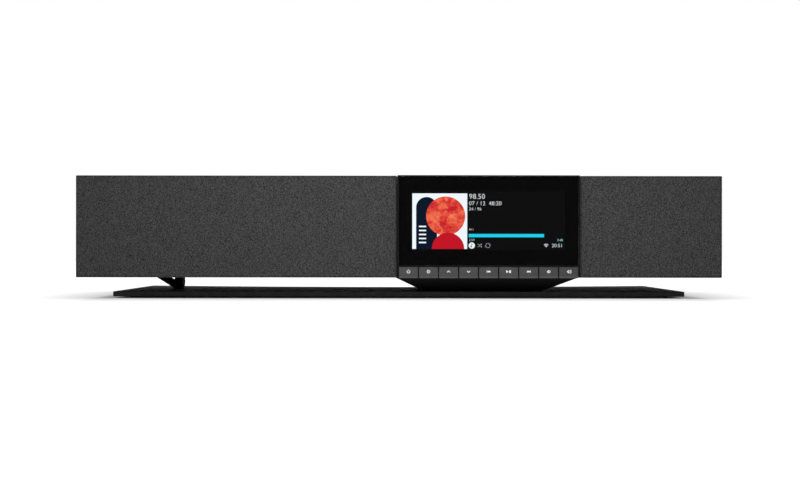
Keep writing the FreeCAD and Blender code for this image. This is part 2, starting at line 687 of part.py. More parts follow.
def make_radiator():
    border, face = cell("radiator_border"), baffle_front - cell("skin_setback")
    roll = new_body("radiator_roll")
    bead = sketch_on(roll, "XZ_Plane", -baffle_front)
    add_racetrack(bead, border - cell("roll_width"))
    add_racetrack(bead, border)
    feature(roll, "Pad", bead, Length=cell("roll_height"))
    plate = new_body("radiator_plate")
    skin = sketch_on(plate, "XZ_Plane", -face)
    add_racetrack(skin, border + cell("driver_gap"))
    feature(plate, "Pad", skin, Length=cell("radiator_skin"), Reversed=True)
    weight = sketch_on(plate, "XZ_Plane", -face)
    half = cell("radiator_weight")
    add_rectangle(weight, radiator_place - 2 * half, radiator_place + 2 * half, middle_height - half,
                  middle_height + half)
    depth = cell("radiator_skin") + cell("radiator_weight_depth")
    feature(plate, "Pad", weight, Length=depth, Reversed=True)
    node(plate, "bass_radiator")
    return [roll]


# Grilles: a ribbed frame on tongues, with cloth stretched over its front and edges

def make_grille(side, grille, ribs):
    left, right = grille
    cloth = cell("cloth")
    x0, x1 = left + cloth, right - cloth
    z0, z1 = cabinet_bottom + cloth, cabinet_top - cloth
    face = grille_front + cloth
    border, pad = cell("grille_border"), cell("grille_pad")

    body = new_body(f"{side}_grille_frame")
    outline = sketch_on(body, "XZ_Plane", -face)
    add_rectangle(outline, x0, x1, z0, z1)
    window = []
    for x, across, z, up in ((x0, 1, z0, 1), (x1, -1, z0, 1), (x1, -1, z1, -1), (x0, 1, z1, -1)):
        step = [(x + across * border, z + up * pad), (x + across * pad, z + up * pad),
                (x + across * pad, z + up * border)]
        window += step if across == up else step[::-1]
    add_polygon(outline, window)
    feature(body, "Pad", outline, Length=baffle_front - face, Reversed=True)
    bars = sketch_on(body, "XZ_Plane", -face)
    for x in ribs:
        add_rectangle(bars, x - cell("grille_rib") / 2, x + cell("grille_rib") / 2,
                      z0 + border / 2, z1 - border / 2)
    feature(body, "Pad", bars, Length=cell("grille_rib_depth"), Reversed=True)
    tongues = sketch_on(body, "XZ_Plane", -baffle_front)
    wide, tall = cell("tongue_width") / 2, cell("tongue_height") / 2
    for x, z in tongue_places(grille):
        add_rectangle(tongues, x - wide, x + wide, z - tall, z + tall)
    feature(body, "Pad", tongues, Length=cell("tongue_length"), Reversed=True)
    node(body, f"{side}_grille_frame")

    skin = new_body(f"{side}_grille_cloth")
    sheet_outline = sketch_on(skin, "XZ_Plane", -grille_front)
    add_rectangle(sheet_outline, left, right, cabinet_bottom, cabinet_top)
    feature(skin, "Pad", sheet_outline, Length=cell("cloth_return"), Reversed=True)
    dress(skin, "Chamfer", cell("cloth_edge"),
          lambda e: near(e.BoundBox.YMin, grille_front) and near(e.BoundBox.YMax, grille_front))
    hollow = sketch_on(skin, "XZ_Plane", -face)
    add_rectangle(hollow, x0, x1, z0, z1)
    feature(skin, "Pocket", hollow, Length=cell("cloth_return") - cloth)
    node(skin, f"{side}_grille_cloth")


# Display module

glass_back = module_front + cell("glass_gap") + cell("glass_thickness")
housing_floor = baffle_front - cell("housing_floor")
key_zone_top = cabinet_bottom + cell("key_zone")
glass_zone_bottom = key_zone_top + cell("divider_bar")
lcd_middle = cabinet_bottom + cell("lcd_middle")
lcd_half = cell("module_width") / 2 - cell("lcd_margin")
display_board_half = lcd_half - cell("display_board_inset")
display_board_tall = cell("lcd_height") / 2 + cell("display_board_rise")
key_front = module_front
key_back = key_front + cell("key_thickness")
key_recess = key_back + cell("key_recess_gap")


def make_display_housing():
    rim, centre = cell("rim"), cell("module_centre")
    body = new_body("display_housing")
    face = sketch_on(body, "XZ_Plane", -module_front)
    add_rectangle(face, module_left, module_right, cabinet_bottom, module_top)
    feature(body, "Pad", face, Length=baffle_front - module_front, Reversed=True)
    glass_seat = sketch_on(body, "XZ_Plane", -module_front)
    add_rectangle(glass_seat, module_left + rim, module_right - rim, glass_zone_bottom, module_top - rim)
    feature(body, "Pocket", glass_seat, Length=glass_back - module_front)
    cavity = sketch_on(body, "XZ_Plane", -module_front)
    ledge = cell("ledge") + rim
    add_rectangle(cavity, module_left + ledge, module_right - ledge,
                  glass_zone_bottom + cell("ledge"), module_top - ledge)
    feature(body, "Pocket", cavity, Length=housing_floor - module_front)
    key_front_zone = sketch_on(body, "XZ_Plane", -module_front)
    add_rectangle(key_front_zone, module_left + rim, module_right - rim, cabinet_bottom - overrun,
                  key_zone_top)
    feature(body, "Pocket", key_front_zone, Length=key_recess - module_front)
    switch_zone = sketch_on(body, "XZ_Plane", -module_front)
    add_rectangle(switch_zone, module_left + rim, module_right - rim, cabinet_bottom + cell("key_lip"),
                  key_zone_top)
    feature(body, "Pocket", switch_zone, Length=housing_floor - module_front)
    bosses = sketch_on(body, "XZ_Plane", -housing_floor)
    side = cell("boss_side") / 2
    for sx in (-1, 1):
        for sz in (-1, 1):
            x = centre + sx * (display_board_half - cell("boss_inset"))
            z = lcd_middle + sz * (display_board_tall - cell("boss_inset"))
            add_rectangle(bosses, x - side, x + side, z - side, z + side)
    feature(body, "Pad", bosses, Length=cell("board_boss"))
    slot = sketch_on(body, "XZ_Plane", -module_front)
    half_ribbon = cell("ribbon_width") / 2 + cell("ribbon_slot")
    ribbon_height = cabinet_bottom + cell("ribbon_low")
    add_rectangle(slot, centre - half_ribbon, centre + half_ribbon,
                  ribbon_height - cell("ribbon_slot"), ribbon_height + cell("ribbon_slot"))
    feature(body, "Pocket", slot, Length=baffle_front - module_front + overrun)
    node(body, "display_housing")


def make_display_stack():
    rim, gap, centre = cell("rim") + cell("glass_gap"), cell("glass_gap"), cell("module_centre")
    glass = block("glass_plate", module_left + rim, module_right - rim, module_front + gap, glass_back,
                  glass_zone_bottom + gap, module_top - rim)
    node(glass, "display_glass")
    tall = cell("lcd_height") / 2
    panel = block("lcd_block", centre - lcd_half, centre + lcd_half, glass_back,
                  glass_back + cell("lcd_thickness"), lcd_middle - tall, lcd_middle + tall)
    node(panel, "lcd_panel")
    back = housing_floor - cell("board_boss")
    card = block("display_card", centre - display_board_half, centre + display_board_half,
                 back - cell("board"), back, lcd_middle - display_board_tall,
                 lcd_middle + display_board_tall)
    node(card, "display_board")


def make_ribbon():
    """The flat lead from the display board through the baffle to the main board."""
    body = new_body("display_ribbon")
    outline = sketch_on(body, "YZ_Plane", cell("module_centre") - cell("ribbon_width") / 2)
    low, high = cabinet_bottom + cell("ribbon_low"), cabinet_bottom + cell("ribbon_high")
    start = housing_floor - cell("board_boss")
    bend = baffle_back + cell("board_spacing")
    turn = main_board_front - 2 * cell("board_spacing")
    thick = cell("ribbon")
    add_polygon(outline, [
        (start, low), (bend, low), (turn, high), (main_board_front, high),
        (main_board_front, high + thick), (turn - thick, high + thick), (bend - thick, low + thick),
        (start, low + thick),
    ])
    feature(body, "Pad", outline, Length=cell("ribbon_width"))
    node(body, "display_ribbon")


# Keys in a row under the display, each with its plunger in a switch

KEY_NAMES = ["power", "source", "up", "down", "previous", "play", "next", "quieter", "louder"]
key_pitch = (cell("module_width") - 2 * cell("rim")) / len(KEY_NAMES)
key_low = cabinet_bottom - cell("key_drop")
key_high = key_zone_top - cell("key_gap") / 2
key_middle = (cabinet_bottom + cell("key_lip") + key_zone_top) / 2
stem_end = key_back + cell("stem_length")
switch_front = stem_end + cell("key_travel") + cell("plunger_rest")
switch_back = switch_front + cell("switch_height")


def key_centre(index):
    """Middle of a key, counted from the left."""
    return module_left + cell("rim") + key_pitch * (index + 0.5)


def make_keys():
    half = (key_pitch - cell("key_gap")) / 2
    for i, name in enumerate(KEY_NAMES):
        x = key_centre(i)
        body = new_body(f"{name}_cap", x)
        face = sketch_on(body, "XZ_Plane", -key_front)
        add_rectangle(face, -half, half, key_low, key_high)
        feature(body, "Pad", face, Length=cell("key_thickness"), Reversed=True)
        dress(body, "Chamfer", cell("key_chamfer"), is_key_lower_edge)
        stem = sketch_on(body, "XZ_Plane", -key_back)
        side = cell("stem_side") / 2
        add_rectangle(stem, -side, side, key_middle - side, key_middle + side)
        feature(body, "Pad", stem, Length=cell("stem_length"), Reversed=True)
        tip = sketch_on(body, "XZ_Plane", -stem_end)
        side = cell("plunger_side") / 2
        add_rectangle(tip, -side, side, key_middle - side, key_middle + side)
        feature(body, "Pad", tip, Length=cell("plunger_length"), Reversed=True)
        node(body, f"{name}_key")


def is_key_lower_edge(edge):
    """Whether an edge is the lower front edge of a key."""
    box = edge.BoundBox
    return runs_along(edge, 0) and near(box.ZMax, key_low) and near(box.YMax, key_front)


def make_switches():
    half = cell("switch_side") / 2
    made = []
    for i, name in enumerate(KEY_NAMES):
        x = key_centre(i)
        case = block(f"{name}_switch_case", x - half, x + half, switch_front, switch_back,
                     key_middle - half, key_middle + half)
        side = cell("plunger_side") / 2 + cell("plunger_clearance")
        well = block(f"{name}_switch_well", x - side, x + side, switch_front - overrun,
                     switch_front + cell("switch_well"), key_middle - side, key_middle + side)
        made.append(cut(f"{name}_switch", case, [well]))
    node(group("switches_group", made), "key_switches")
    card = block("key_card", module_left + cell("key_board_inset"), module_right - cell("key_board_inset"),
                 switch_back, switch_back + cell("key_board"), cabinet_bottom + cell("key_board_low"),
                 key_zone_top - cell("key_board_high"))
    node(card, "key_board")


# Rear panel with its vents, and the socket bay set into it

bay_left = cell("divider_place") + cell("divider_thickness") + cell("divider_margin") + cell("bay_wall")
bay_right = bay_left + cell("bay_width")
bay_centre = (bay_left + bay_right) / 2
bay_bottom = panel_low + cell("bay_low")
bay_top = bay_bottom + cell("bay_height")
bay_floor = rear - cell("bay_depth")
bay_back = bay_floor - cell("socket_plate")
socket_height = bay_bottom + cell("socket_line")
main_board_front = bay_back - cell("main_board_gap") - cell("board")
main_board_back = main_board_front + cell("board")

SOCKETS = ["ethernet", "usb", "hdmi", "optical", "inlet"]


def socket_outline(name):
    """Left, right, bottom and top of a socket's case as it passes the bay's floor."""
    x, wide, tall = cell(f"{name}_place"), cell(f"{name}_width") / 2, cell(f"{name}_height") / 2
    return x - wide, x + wide, socket_height - tall, socket_height + tall


def bay_outline():
    """Left, right, bottom and top of the bay's walls, outside."""
    wall = cell("bay_wall")
    return bay_left - wall, bay_right + wall, bay_bottom - wall, bay_top + wall


def make_rear_panel():
    body = new_body("rear_panel")
    face = sketch_on(body, "XZ_Plane", -rear)
    add_rectangle(face, -panel_half, panel_half, panel_low, panel_high)
    add_rectangle(face, *bay_outline())
    feature(body, "Pad", face, Length=cell("panel_thickness"))
    vent = sketch_on(body, "XZ_Plane", -rear)
    first = bay_centre - cell("vent_pitch") * (cell("vent_count") - 1) / 2
    low = panel_low + cell("vent_low")
    add_rectangle(vent, first - cell("vent_width") / 2, first + cell("vent_width") / 2,
                  low, low + cell("vent_height"))
    slot = feature(body, "Pocket", vent, Length=cell("panel_thickness") + overrun, Reversed=True)
    axis = next(f for f in body.Origin.OriginFeatures if f.Role == "X_Axis")
    pattern(body, "LinearPattern", slot, Direction=(axis, [""]), Occurrences=int(SIZES["vent_count"]),
            Length=cell("vent_pitch") * (cell("vent_count") - 1))
    node(body, "rear_panel")


def make_bay_frame():
    """The four walls of the bay, with a flange that lies against the panel from behind."""
    body = new_body("bay_frame")
    walls = sketch_on(body, "XZ_Plane", -rear)
    add_rectangle(walls, *bay_outline())
    feature(body, "Pad", walls, Length=cell("bay_depth"))
    back = rear - cell("panel_thickness")
    flange = sketch_on(body, "XZ_Plane", -back)
    x0, x1, z0, z1 = bay_outline()
    wide = cell("bay_flange")
    add_rectangle(flange, x0 - wide, x1 + wide, z0 - wide, z1 + wide)
    feature(body, "Pad", flange, Length=cell("bay_wall"))
    inside = sketch_on(body, "XZ_Plane", -rear)
    add_rectangle(inside, bay_left, bay_right, bay_bottom, bay_top)
    feature(body, "Pocket", inside, Length=cell("bay_depth") + overrun, Reversed=True)
    node(body, "bay_frame")


def make_socket_plate():
    """The bay's floor, with a window for each socket."""
    body = new_body("socket_plate")
    face = sketch_on(body, "XZ_Plane", -bay_floor)
    add_rectangle(face, *bay_outline())
    gap = cell("fit_gap")
    for name in SOCKETS:
        x0, x1, z0, z1 = socket_outline(name)
        add_rectangle(face, x0 - gap, x1 + gap, z0 - gap, z1 + gap)
    add_circle(face, cell("jack_place"), socket_height, cell("jack_radius") + gap)
    feature(body, "Pad", face, Length=cell("socket_plate"))
    node(body, "socket_plate")


# Sockets

def make_data_sockets():
    mouth = bay_floor + cell("socket_proud")
    case = {}
    for name in ("ethernet", "usb", "hdmi", "optical"):
        x0, x1, z0, z1 = socket_outline(name)
        case[name] = block(f"{name}_case", x0, x1, main_board_back, mouth, z0, z1)

    x, wide = cell("ethernet_place"), cell("ethernet_well_width") / 2
    tall, latch = cell("ethernet_well_height") / 2, cell("latch_width") / 2
    depth = mouth - cell("ethernet_depth")
    well = block("ethernet_well", x - wide, x + wide, depth, mouth + overrun, socket_height - tall,
                 socket_height + tall)
    notch = block("ethernet_latch", x - latch, x + latch, depth, mouth + overrun, socket_height,
                  socket_height + tall + cell("latch_rise"))
    node(cut("ethernet_cut", case["ethernet"], [well, notch]), "ethernet_socket")

    for name in ("usb", "hdmi"):
        x0, x1, z0, z1 = socket_outline(name)
        shell, depth = cell("socket_shell"), mouth - cell("socket_depth")
        well = block(f"{name}_well", x0 + shell, x1 - shell, depth, mouth + overrun, z0 + shell, z1 - shell)
        blade_top = z1 - shell - cell(f"{name}_tongue_drop")
        side = shell + cell("tongue_side")
        blade = block(f"{name}_tongue", x0 + side, x1 - side, depth - shell, mouth - cell("tongue_recess"),
                      blade_top - cell(f"{name}_tongue"), blade_top)
        node(fuse(f"{name}_fuse", [cut(f"{name}_shell", case[name], [well]), blade]), f"{name}_socket")

    x, half = cell("optical_place"), cell("optical_well") / 2
    well = block("optical_well", x - half, x + half, mouth - cell("optical_depth"), mouth + overrun,
                 socket_height - half, socket_height + half)
    node(cut("optical_cut", case["optical"], [well]), "optical_socket")
    half -= cell("shutter_gap")
    flap_front = mouth - cell("shutter_recess")
    flap = block("optical_flap", x - half, x + half, flap_front - cell("shutter"), flap_front,
                 socket_height - half, socket_height + half)
    node(flap, "optical_shutter")


def make_inlet():
    x0, x1, z0, z1 = socket_outline("inlet")
    back, flange, wall = bay_back - cell("inlet_depth"), cell("inlet_flange"), cell("inlet_wall")
    front = bay_floor + cell("inlet_flange_rise")
    barrel = block("inlet_barrel", x0, x1, back, bay_floor, z0, z1)
    rim = block("inlet_flange", x0 - flange, x1 + flange, bay_floor, front, z0 - flange, z1 + flange)
    well_back = back + cell("inlet_back")
    well = block("inlet_well", x0 + wall, x1 - wall, well_back, front + overrun, z0 + wall, z1 - wall)
    node(cut("inlet_cut", fuse("inlet_shell", [barrel, rim]), [well]), "mains_inlet")
    pins = []
    wide, tall = cell("pin_width") / 2, cell("pin_height") / 2
    for i, (across, up) in enumerate(((-1, -1), (0, 1), (1, -1)), start=1):
        x = cell("inlet_place") + across * cell("pin_spacing")
        z = socket_height + up * cell("pin_offset")
        pins.append(block(f"inlet_pin_{i}", x - wide, x + wide, well_back, bay_floor - cell("pin_recess"),
                          z - tall, z + tall))
    node(group("inlet_pins_group", pins), "inlet_pins")


def make_signal_jack():
    bore, radius = cell("jack_bore"), cell("jack_radius")
    back, mouth = main_board_back - bay_floor, cell("jack_length")
    outline = [(bore, back), (bore, mouth), (radius, mouth), (radius, back)]
    node(turned("jack_sleeve", outline, cell("jack_place"), bay_floor, socket_height), "signal_jack")


# Electronics inside

def make_main_board():
    left = bay_left + cell("board_margin")
    right = cell("inlet_place") - cell("inlet_width") / 2 - cell("inlet_clearance")
    card = block("main_card", left, right, main_board_front, main_board_back,
                 inside_bottom + cell("main_board_low"), inside_top - cell("main_board_high"))
    radio_left, radio_low = left + cell("radio_left"), inside_bottom + cell("radio_low")
    module = block("radio_module", radio_left, radio_left + cell("radio_width"),
                   main_board_front - cell("radio_thickness"), main_board_front,
                   radio_low, radio_low + cell("radio_height"))
    node(group("main_board_group", [card, module]), "main_board")


# Both power boards lie on standoffs on the cabinet's floor, between the baffle and the main board
boards_start = baffle_back + cell("board_front")
boards_end = main_board_front - cell("board_rear")
board_low = inside_bottom + cell("standoff")
board_high = board_low + cell("board")
amplifier_left = bay_left + cell("board_margin")
supply_left = amplifier_left + cell("amplifier_width") + cell("board_spacing")


def lying_board(name, x0, x1):
    """A board with its four standoffs."""
    pieces = [block(f"{name}_card", x0, x1, boards_start, boards_end, board_low, board_high)]
    inset, side = cell("standoff_inset"), cell("standoff_side") / 2
    for x in (x0 + inset, x1 - inset):
        for y in (boards_start + inset, boards_end - inset):
            pieces.append(block(f"{name}_standoff_{len(pieces)}", x - side, x + side, y - side, y + side,
                                inside_bottom, board_low))
    return pieces


def make_power_supply():
    pieces = lying_board("supply", supply_left, supply_left + cell("supply_width"))
    x, y = supply_left + cell("transformer_left"), boards_start + cell("transformer_front")
    pieces.append(block("transformer", x, x + cell("transformer_width"), y, y + cell("transformer_depth"),
                        board_high, board_high + cell("transformer_height")))
    x, y = supply_left + cell("reservoir_left"), boards_start + cell("reservoir_front")
    pieces.append(post("reservoir", cell("reservoir_radius"), x, y, board_high,
                       board_high + cell("reservoir_height")))
    node(group("supply_group", pieces), "power_supply")


def make_amplifier():
    pieces = lying_board("amplifier", amplifier_left, amplifier_left + cell("amplifier_width"))
    x, y, side = amplifier_left + cell("chip_left"), boards_start + cell("chip_front"), cell("chip_side")
    chip_top = board_high + cell("chip_height")
    pieces.append(block("amplifier_chip", x, x + side, y, y + side, board_high, chip_top))
    side, choke_end = cell("choke_side"), boards_end - cell("choke_rear")
    for i in range(int(SIZES["choke_count"])):
        x = amplifier_left + cell("choke_left") + i * cell("choke_pitch")
        pieces.append(block(f"choke_{i + 1}", x, x + side, choke_end - side, choke_end, board_high,
                            board_high + cell("choke_height")))
    node(group("amplifier_group", pieces), "amplifier_board")
    sink_left = amplifier_left + (cell("amplifier_width") - cell("sink_width")) / 2
    sink_start = boards_start + cell("sink_front")
    make_heat_sink(sink_left, sink_start, choke_end - side - cell("sink_gap"), chip_top)


def make_heat_sink(x0, y0, y1, z0):
    body = new_body("heat_sink")
    base = sketch_on(body, "XY_Plane", z0)
    add_rectangle(base, x0, x0 + cell("sink_width"), y0, y1)
    feature(body, "Pad", base, Length=cell("sink_base"))
    fin = sketch_on(body, "XY_Plane", z0)
    add_rectangle(fin, x0, x0 + cell("fin"), y0, y1)
    first = feature(body, "Pad", fin, Length=cell("sink_base") + cell("fin_height"))
    axis = next(f for f in body.Origin.OriginFeatures if f.Role == "X_Axis")
    pattern(body, "LinearPattern", first, Direction=(axis, [""]), Occurrences=int(SIZES["fin_count"]),
            Length=cell("sink_width") - cell("fin"))
    node(body, "heat_sink")


# Everything, from the floor up and from the front back

make_base_plate()
make_base_feet()
make_neck()
make_leg()
make_cabinet_wrap()
make_front_baffle()
make_dividers()
between_units = woofer_place + cell("woofer_flange") + cell("driver_spacing") / 2
beside_woofer = woofer_place - cell("woofer_flange") - cell("driver_spacing") / 2
beside_radiator = radiator_place + cell("radiator_width") / 2 + cell("grille_rib")
make_grille("left", left_grille, [-between_units, -beside_woofer, beside_radiator])
make_grille("right", right_grille, [between_units])
rolls = make_drive_units("woofer", woofer_place, middle_height)
rolls += make_drive_units("midrange", outer_place, midrange_height)
make_tweeters()
rolls += make_radiator()
node(group("rolls_group", rolls), "surrounds")
make_display_housing()
make_display_stack()
make_ribbon()
make_keys()
make_switches()
make_rear_panel()
make_bay_frame()
make_socket_plate()
make_data_sockets()
make_inlet()
make_signal_jack()
make_main_board()
make_power_supply()
make_amplifier()

doc.recompute()
for obj in doc.Objects:
    if {"Invalid", "Error"} & set(obj.State):
        raise ValueError(f"{obj.Label} failed: {obj.State}")
for obj in NODES:
    if obj.Shape.isNull() or not obj.Shape.isValid() or not obj.Shape.Solids:
        raise ValueError(f"{obj.Label} has no valid solid")

os.makedirs("parts", exist_ok=True)
for obj in NODES:
    obj.Shape.exportStep(os.path.join("parts", f"{obj.Label}.step"))
print(f"{len(NODES)} pieces written")
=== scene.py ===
# A long, low wireless speaker on a white floor, seen level from the front.
# Dictionaries are in millimetres, but those of the floor and the lamps are in metres, as the meshes are.
import math
import random
from collections import namedtuple

import bmesh
import bpy
from mathutils import Matrix, Vector


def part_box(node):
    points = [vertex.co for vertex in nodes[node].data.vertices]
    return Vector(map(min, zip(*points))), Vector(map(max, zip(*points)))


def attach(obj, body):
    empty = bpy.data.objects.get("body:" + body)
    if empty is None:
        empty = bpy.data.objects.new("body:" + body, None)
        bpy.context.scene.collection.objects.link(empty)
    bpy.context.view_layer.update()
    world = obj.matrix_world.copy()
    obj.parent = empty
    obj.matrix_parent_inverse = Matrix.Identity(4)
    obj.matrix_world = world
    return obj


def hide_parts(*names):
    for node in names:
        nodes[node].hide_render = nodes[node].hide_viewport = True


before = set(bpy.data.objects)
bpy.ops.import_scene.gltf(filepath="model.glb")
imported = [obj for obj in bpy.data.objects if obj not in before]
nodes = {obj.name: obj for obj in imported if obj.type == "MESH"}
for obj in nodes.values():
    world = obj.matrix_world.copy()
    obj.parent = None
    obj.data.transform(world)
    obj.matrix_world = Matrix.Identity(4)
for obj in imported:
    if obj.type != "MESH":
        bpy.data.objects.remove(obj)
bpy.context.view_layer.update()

scene = bpy.context.scene
mm = 0.001
point = namedtuple("point", "x y z")
print("frame loaded,", len(nodes), "nodes")


# a node's box in millimetres: its low corner, its middle and its high corner
def boxIn(name):
    low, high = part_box(name)
    middle = [(a + b) / 2 for a, b in zip(low, high)]
    return [point(*(value / mm for value in corner)) for corner in (low, middle, high)]


# Colours and material building

# a hex colour as the linear values that shaders take
def linear(hexColour):
    parts = [int(hexColour[i:i + 2], 16) / 255 for i in (1, 3, 5)]
    return [p / 12.92 if p <= 0.04045 else ((p + 0.055) / 1.055) ** 2.4 for p in parts] + [1.0]


def startMaterial(name):
    material = bpy.data.materials.new(name)
    material.use_nodes = True
    material.node_tree.nodes.clear()
    return material, material.node_tree


# adds one node: settings are its own properties or the values of its inputs, links are what feeds its inputs
def addNode(tree, kind, settings=(), links=()):
    made = tree.nodes.new(kind)
    for key, value in dict(settings).items():
        if isinstance(key, str) and hasattr(made, key):
            setattr(made, key, value)
        else:
            made.inputs[key].default_value = value
    for key, source in dict(links).items():
        tree.links.new(source, made.inputs[key])
    return made.outputs


# one step of arithmetic, whose terms are sockets or plain numbers
def addMath(tree, operation, *terms):
    numbers = {i: term for i, term in enumerate(terms) if isinstance(term, (int, float))}
    sockets = {i: term for i, term in enumerate(terms) if i not in numbers}
    return addNode(tree, "ShaderNodeMath", {"operation": operation} | numbers, sockets)["Value"]


def addRange(tree, value, settings):
    return addNode(tree, "ShaderNodeMapRange", settings, {"Value": value})["Result"]


def addNoise(tree, place, settings):
    return addNode(tree, "ShaderNodeTexNoise", settings, {"Vector": place})["Fac"]


def addBump(tree, height, strength, relief):
    settings = {"Strength": strength, "Distance": relief * mm}
    return addNode(tree, "ShaderNodeBump", settings, {"Height": height})["Normal"]


# a colour ramp through stops, each a place from 0 to 1 and a hex colour
def addRamp(tree, value, stops):
    colour = addNode(tree, "ShaderNodeValToRGB", links={"Fac": value})["Color"]
    elements = colour.node.color_ramp.elements
    for i, (place, tone) in enumerate(stops):
        element = elements[i] if i < 2 else elements.new(place)
        element.position = place
        element.color = linear(tone)
    return colour


def objectPlace(tree):
    return addNode(tree, "ShaderNodeTexCoord")["Object"]


def finishMaterial(material, shader):
    addNode(material.node_tree, "ShaderNodeOutputMaterial", links={"Surface": shader})
    return material


def finishSurface(material, settings, links):
    shader = addNode(material.node_tree, "ShaderNodeBsdfPrincipled", settings, links)
    return finishMaterial(material, shader["BSDF"])


# shared by all plain surfaces: where over the noise the tone and the roughness change, and how much it shows
surface = {"toneDetail": 4.0, "toneFrom": 0.35, "toneTo": 0.65, "gritDetail": 2.0, "gritFrom": 0.3,
           "gritTo": 0.7, "bump": 0.6, "leastRough": 0.02}


# a surface whose tone wanders a little between two hex colours, with a fine relief of the given grain
def surfaceFinish(name, dark, light, grain, relief, rough, extras=(), patch=9.0, roughSpread=0.05):
    material, tree = startMaterial(name)
    place = objectPlace(tree)
    cloud = addNoise(tree, place, {"Scale": 1 / (patch * mm), "Detail": surface["toneDetail"]})
    tone = addRamp(tree, cloud, [(surface["toneFrom"], dark), (surface["toneTo"], light)])
    grit = addNoise(tree, place, {"Scale": 1 / (grain * mm), "Detail": surface["gritDetail"]})
    normal = addBump(tree, grit, surface["bump"], relief)
    spread = addRange(tree, grit, {"From Min": surface["gritFrom"], "From Max": surface["gritTo"],
                                   "To Min": max(surface["leastRough"], rough - roughSpread),
                                   "To Max": min(1.0, rough + roughSpread)})
    return finishSurface(material, {"Roughness": rough} | dict(extras),
                         {"Base Color": tone, "Roughness": spread, "Normal": normal})


pixelGlow = 1.12  # how brightly the panel's lit pixels shine


def litPixels(name, colour):
    material, tree = startMaterial(name)
    glow = addNode(tree, "ShaderNodeEmission", {"Color": linear(colour), "Strength": pixelGlow})
    return finishMaterial(material, glow["Emission"])


# Finishes. Each is named for the real material, and its note says how that surface is made.

# a yarn's width, the length of a pale or dark stretch on it, and the height of the crossings; then the tones
# and where they change over the noise, the shade of the pits, and where one yarn dips under the other
weave = {
    "yarn": 0.85, "stretch": 1.7, "relief": 0.16, "bump": 0.7, "dark": "#0a0a0a", "light": "#808080",
    "from": 0.36, "to": 0.74, "pit": 0.62, "pitEdge": 0.5, "dip": 0.15, "weftSlice": 0.2353,
    "warpSlice": 0.4706, "flecks": {"Scale": 1.0, "Detail": 3.0, "Roughness": 0.75},
    "surface": {"Roughness": 0.92, "Specular IOR Level": 0.15, "Sheen Weight": 0.08, "Sheen Roughness": 0.5,
                "Sheen Tint": linear("#a0a0a0")},
}


# woven polyester from mixed dark and pale yarns that pass over and under: heathered charcoal, no gloss
def makeWovenPolyester():
    material, tree = startMaterial("wovenPolyester")
    place = addNode(tree, "ShaderNodeUVMap", {"uv_map": "cloth"})["UV"]
    split = addNode(tree, "ShaderNodeSeparateXYZ", {}, {"Vector": place})
    across, along = 1 / (weave["yarn"] * mm), 1 / (weave["stretch"] * mm)
    yarns = []
    for spacing, cut in (((along, across, 1.0), "weftSlice"), ((across, along, 1.0), "warpSlice")):
        laid = addNode(tree, "ShaderNodeMapping", {"Scale": spacing, "Location": (0, 0, weave[cut])},
                       {"Vector": place})
        yarns.append(addNoise(tree, laid["Vector"], weave["flecks"]))
    angles = [addMath(tree, "MULTIPLY", split[axis], math.pi * across) for axis in ("X", "Y")]
    crossing = addMath(tree, "MULTIPLY", *(addMath(tree, "SINE", angle) for angle in angles))
    onTop = addRange(tree, crossing, {"From Min": -weave["dip"], "From Max": weave["dip"]})
    thread = addNode(tree, "ShaderNodeMix", {"data_type": "FLOAT"}, {0: onTop, 2: yarns[0], 3: yarns[1]})
    tone = addRamp(tree, thread[0], [(weave["from"], weave["dark"]), (weave["to"], weave["light"])])
    height = addMath(tree, "ABSOLUTE", crossing)
    pit = addRange(tree, height, {"From Max": weave["pitEdge"], "To Min": weave["pit"]})
    shaded = addNode(tree, "ShaderNodeVectorMath", {"operation": "SCALE"}, {0: tone, "Scale": pit})
    normal = addBump(tree, height, weave["bump"], weave["relief"])
    return finishSurface(material, weave["surface"], {"Base Color": shaded["Vector"], "Normal": normal})


# chemically strengthened glass, polished: clear, so that only its first face mirrors the room
def makeCoverGlass():
    material, tree = startMaterial("polishedCoverGlass")
    smear = addNoise(tree, objectPlace(tree), {"Scale": 22.0, "Detail": 3.0})
    tint = addRamp(tree, smear, [(0.4, "#f1f4f5"), (0.6, "#f8fafa")])
    return finishSurface(material, {"Roughness": 0.0, "Transmission Weight": 1.0, "IOR": 1.5},
                         {"Base Color": tint})


# lit print with brush-like mottling, from coral through vermilion to deep red
def makeMottledPigment():
    material, tree = startMaterial("mottledPigment")
    cloud = addNoise(tree, objectPlace(tree),
                     {"Scale": 130.0, "Detail": 6.0, "Roughness": 0.65, "Distortion": 0.6})
    tone = addRamp(tree, cloud, [(0.36, "#c4202c"), (0.66, "#f2805c"), (0.50, "#e04a38")])
    glow = addNode(tree, "ShaderNodeEmission", {"Strength": pixelGlow}, {"Color": tone})
    return finishMaterial(material, glow["Emission"])


board = {"cells": 160.0, "track": 0.06, "mask": "#0f3a26", "copper": "#2a6a48", "bump": 0.5, "relief": 0.05}


# green solder mask over copper tracks: a darker ground crossed by slightly raised paler lines
def makeCircuitBoard():
    material, tree = startMaterial("solderMaskedBoard")
    cells = addNode(tree, "ShaderNodeTexVoronoi",
                    {"distance": "MANHATTAN", "feature": "DISTANCE_TO_EDGE", "Scale": board["cells"]},
                    {"Vector": objectPlace(tree)})
    track = addMath(tree, "LESS_THAN", cells["Distance"], board["track"])
    tone = addNode(tree, "ShaderNodeMix",
                   {"data_type": "RGBA", 6: linear(board["mask"]), 7: linear(board["copper"])}, {0: track})
    normal = addBump(tree, track, board["bump"], board["relief"])
    return finishSurface(material, {"Roughness": 0.35}, {"Base Color": tone[2], "Normal": normal})


cone = {"turns": (45, -45), "fibres": {"Scale": 260.0, "Distortion": 0.4}, "bump": 0.4, "relief": 0.1}


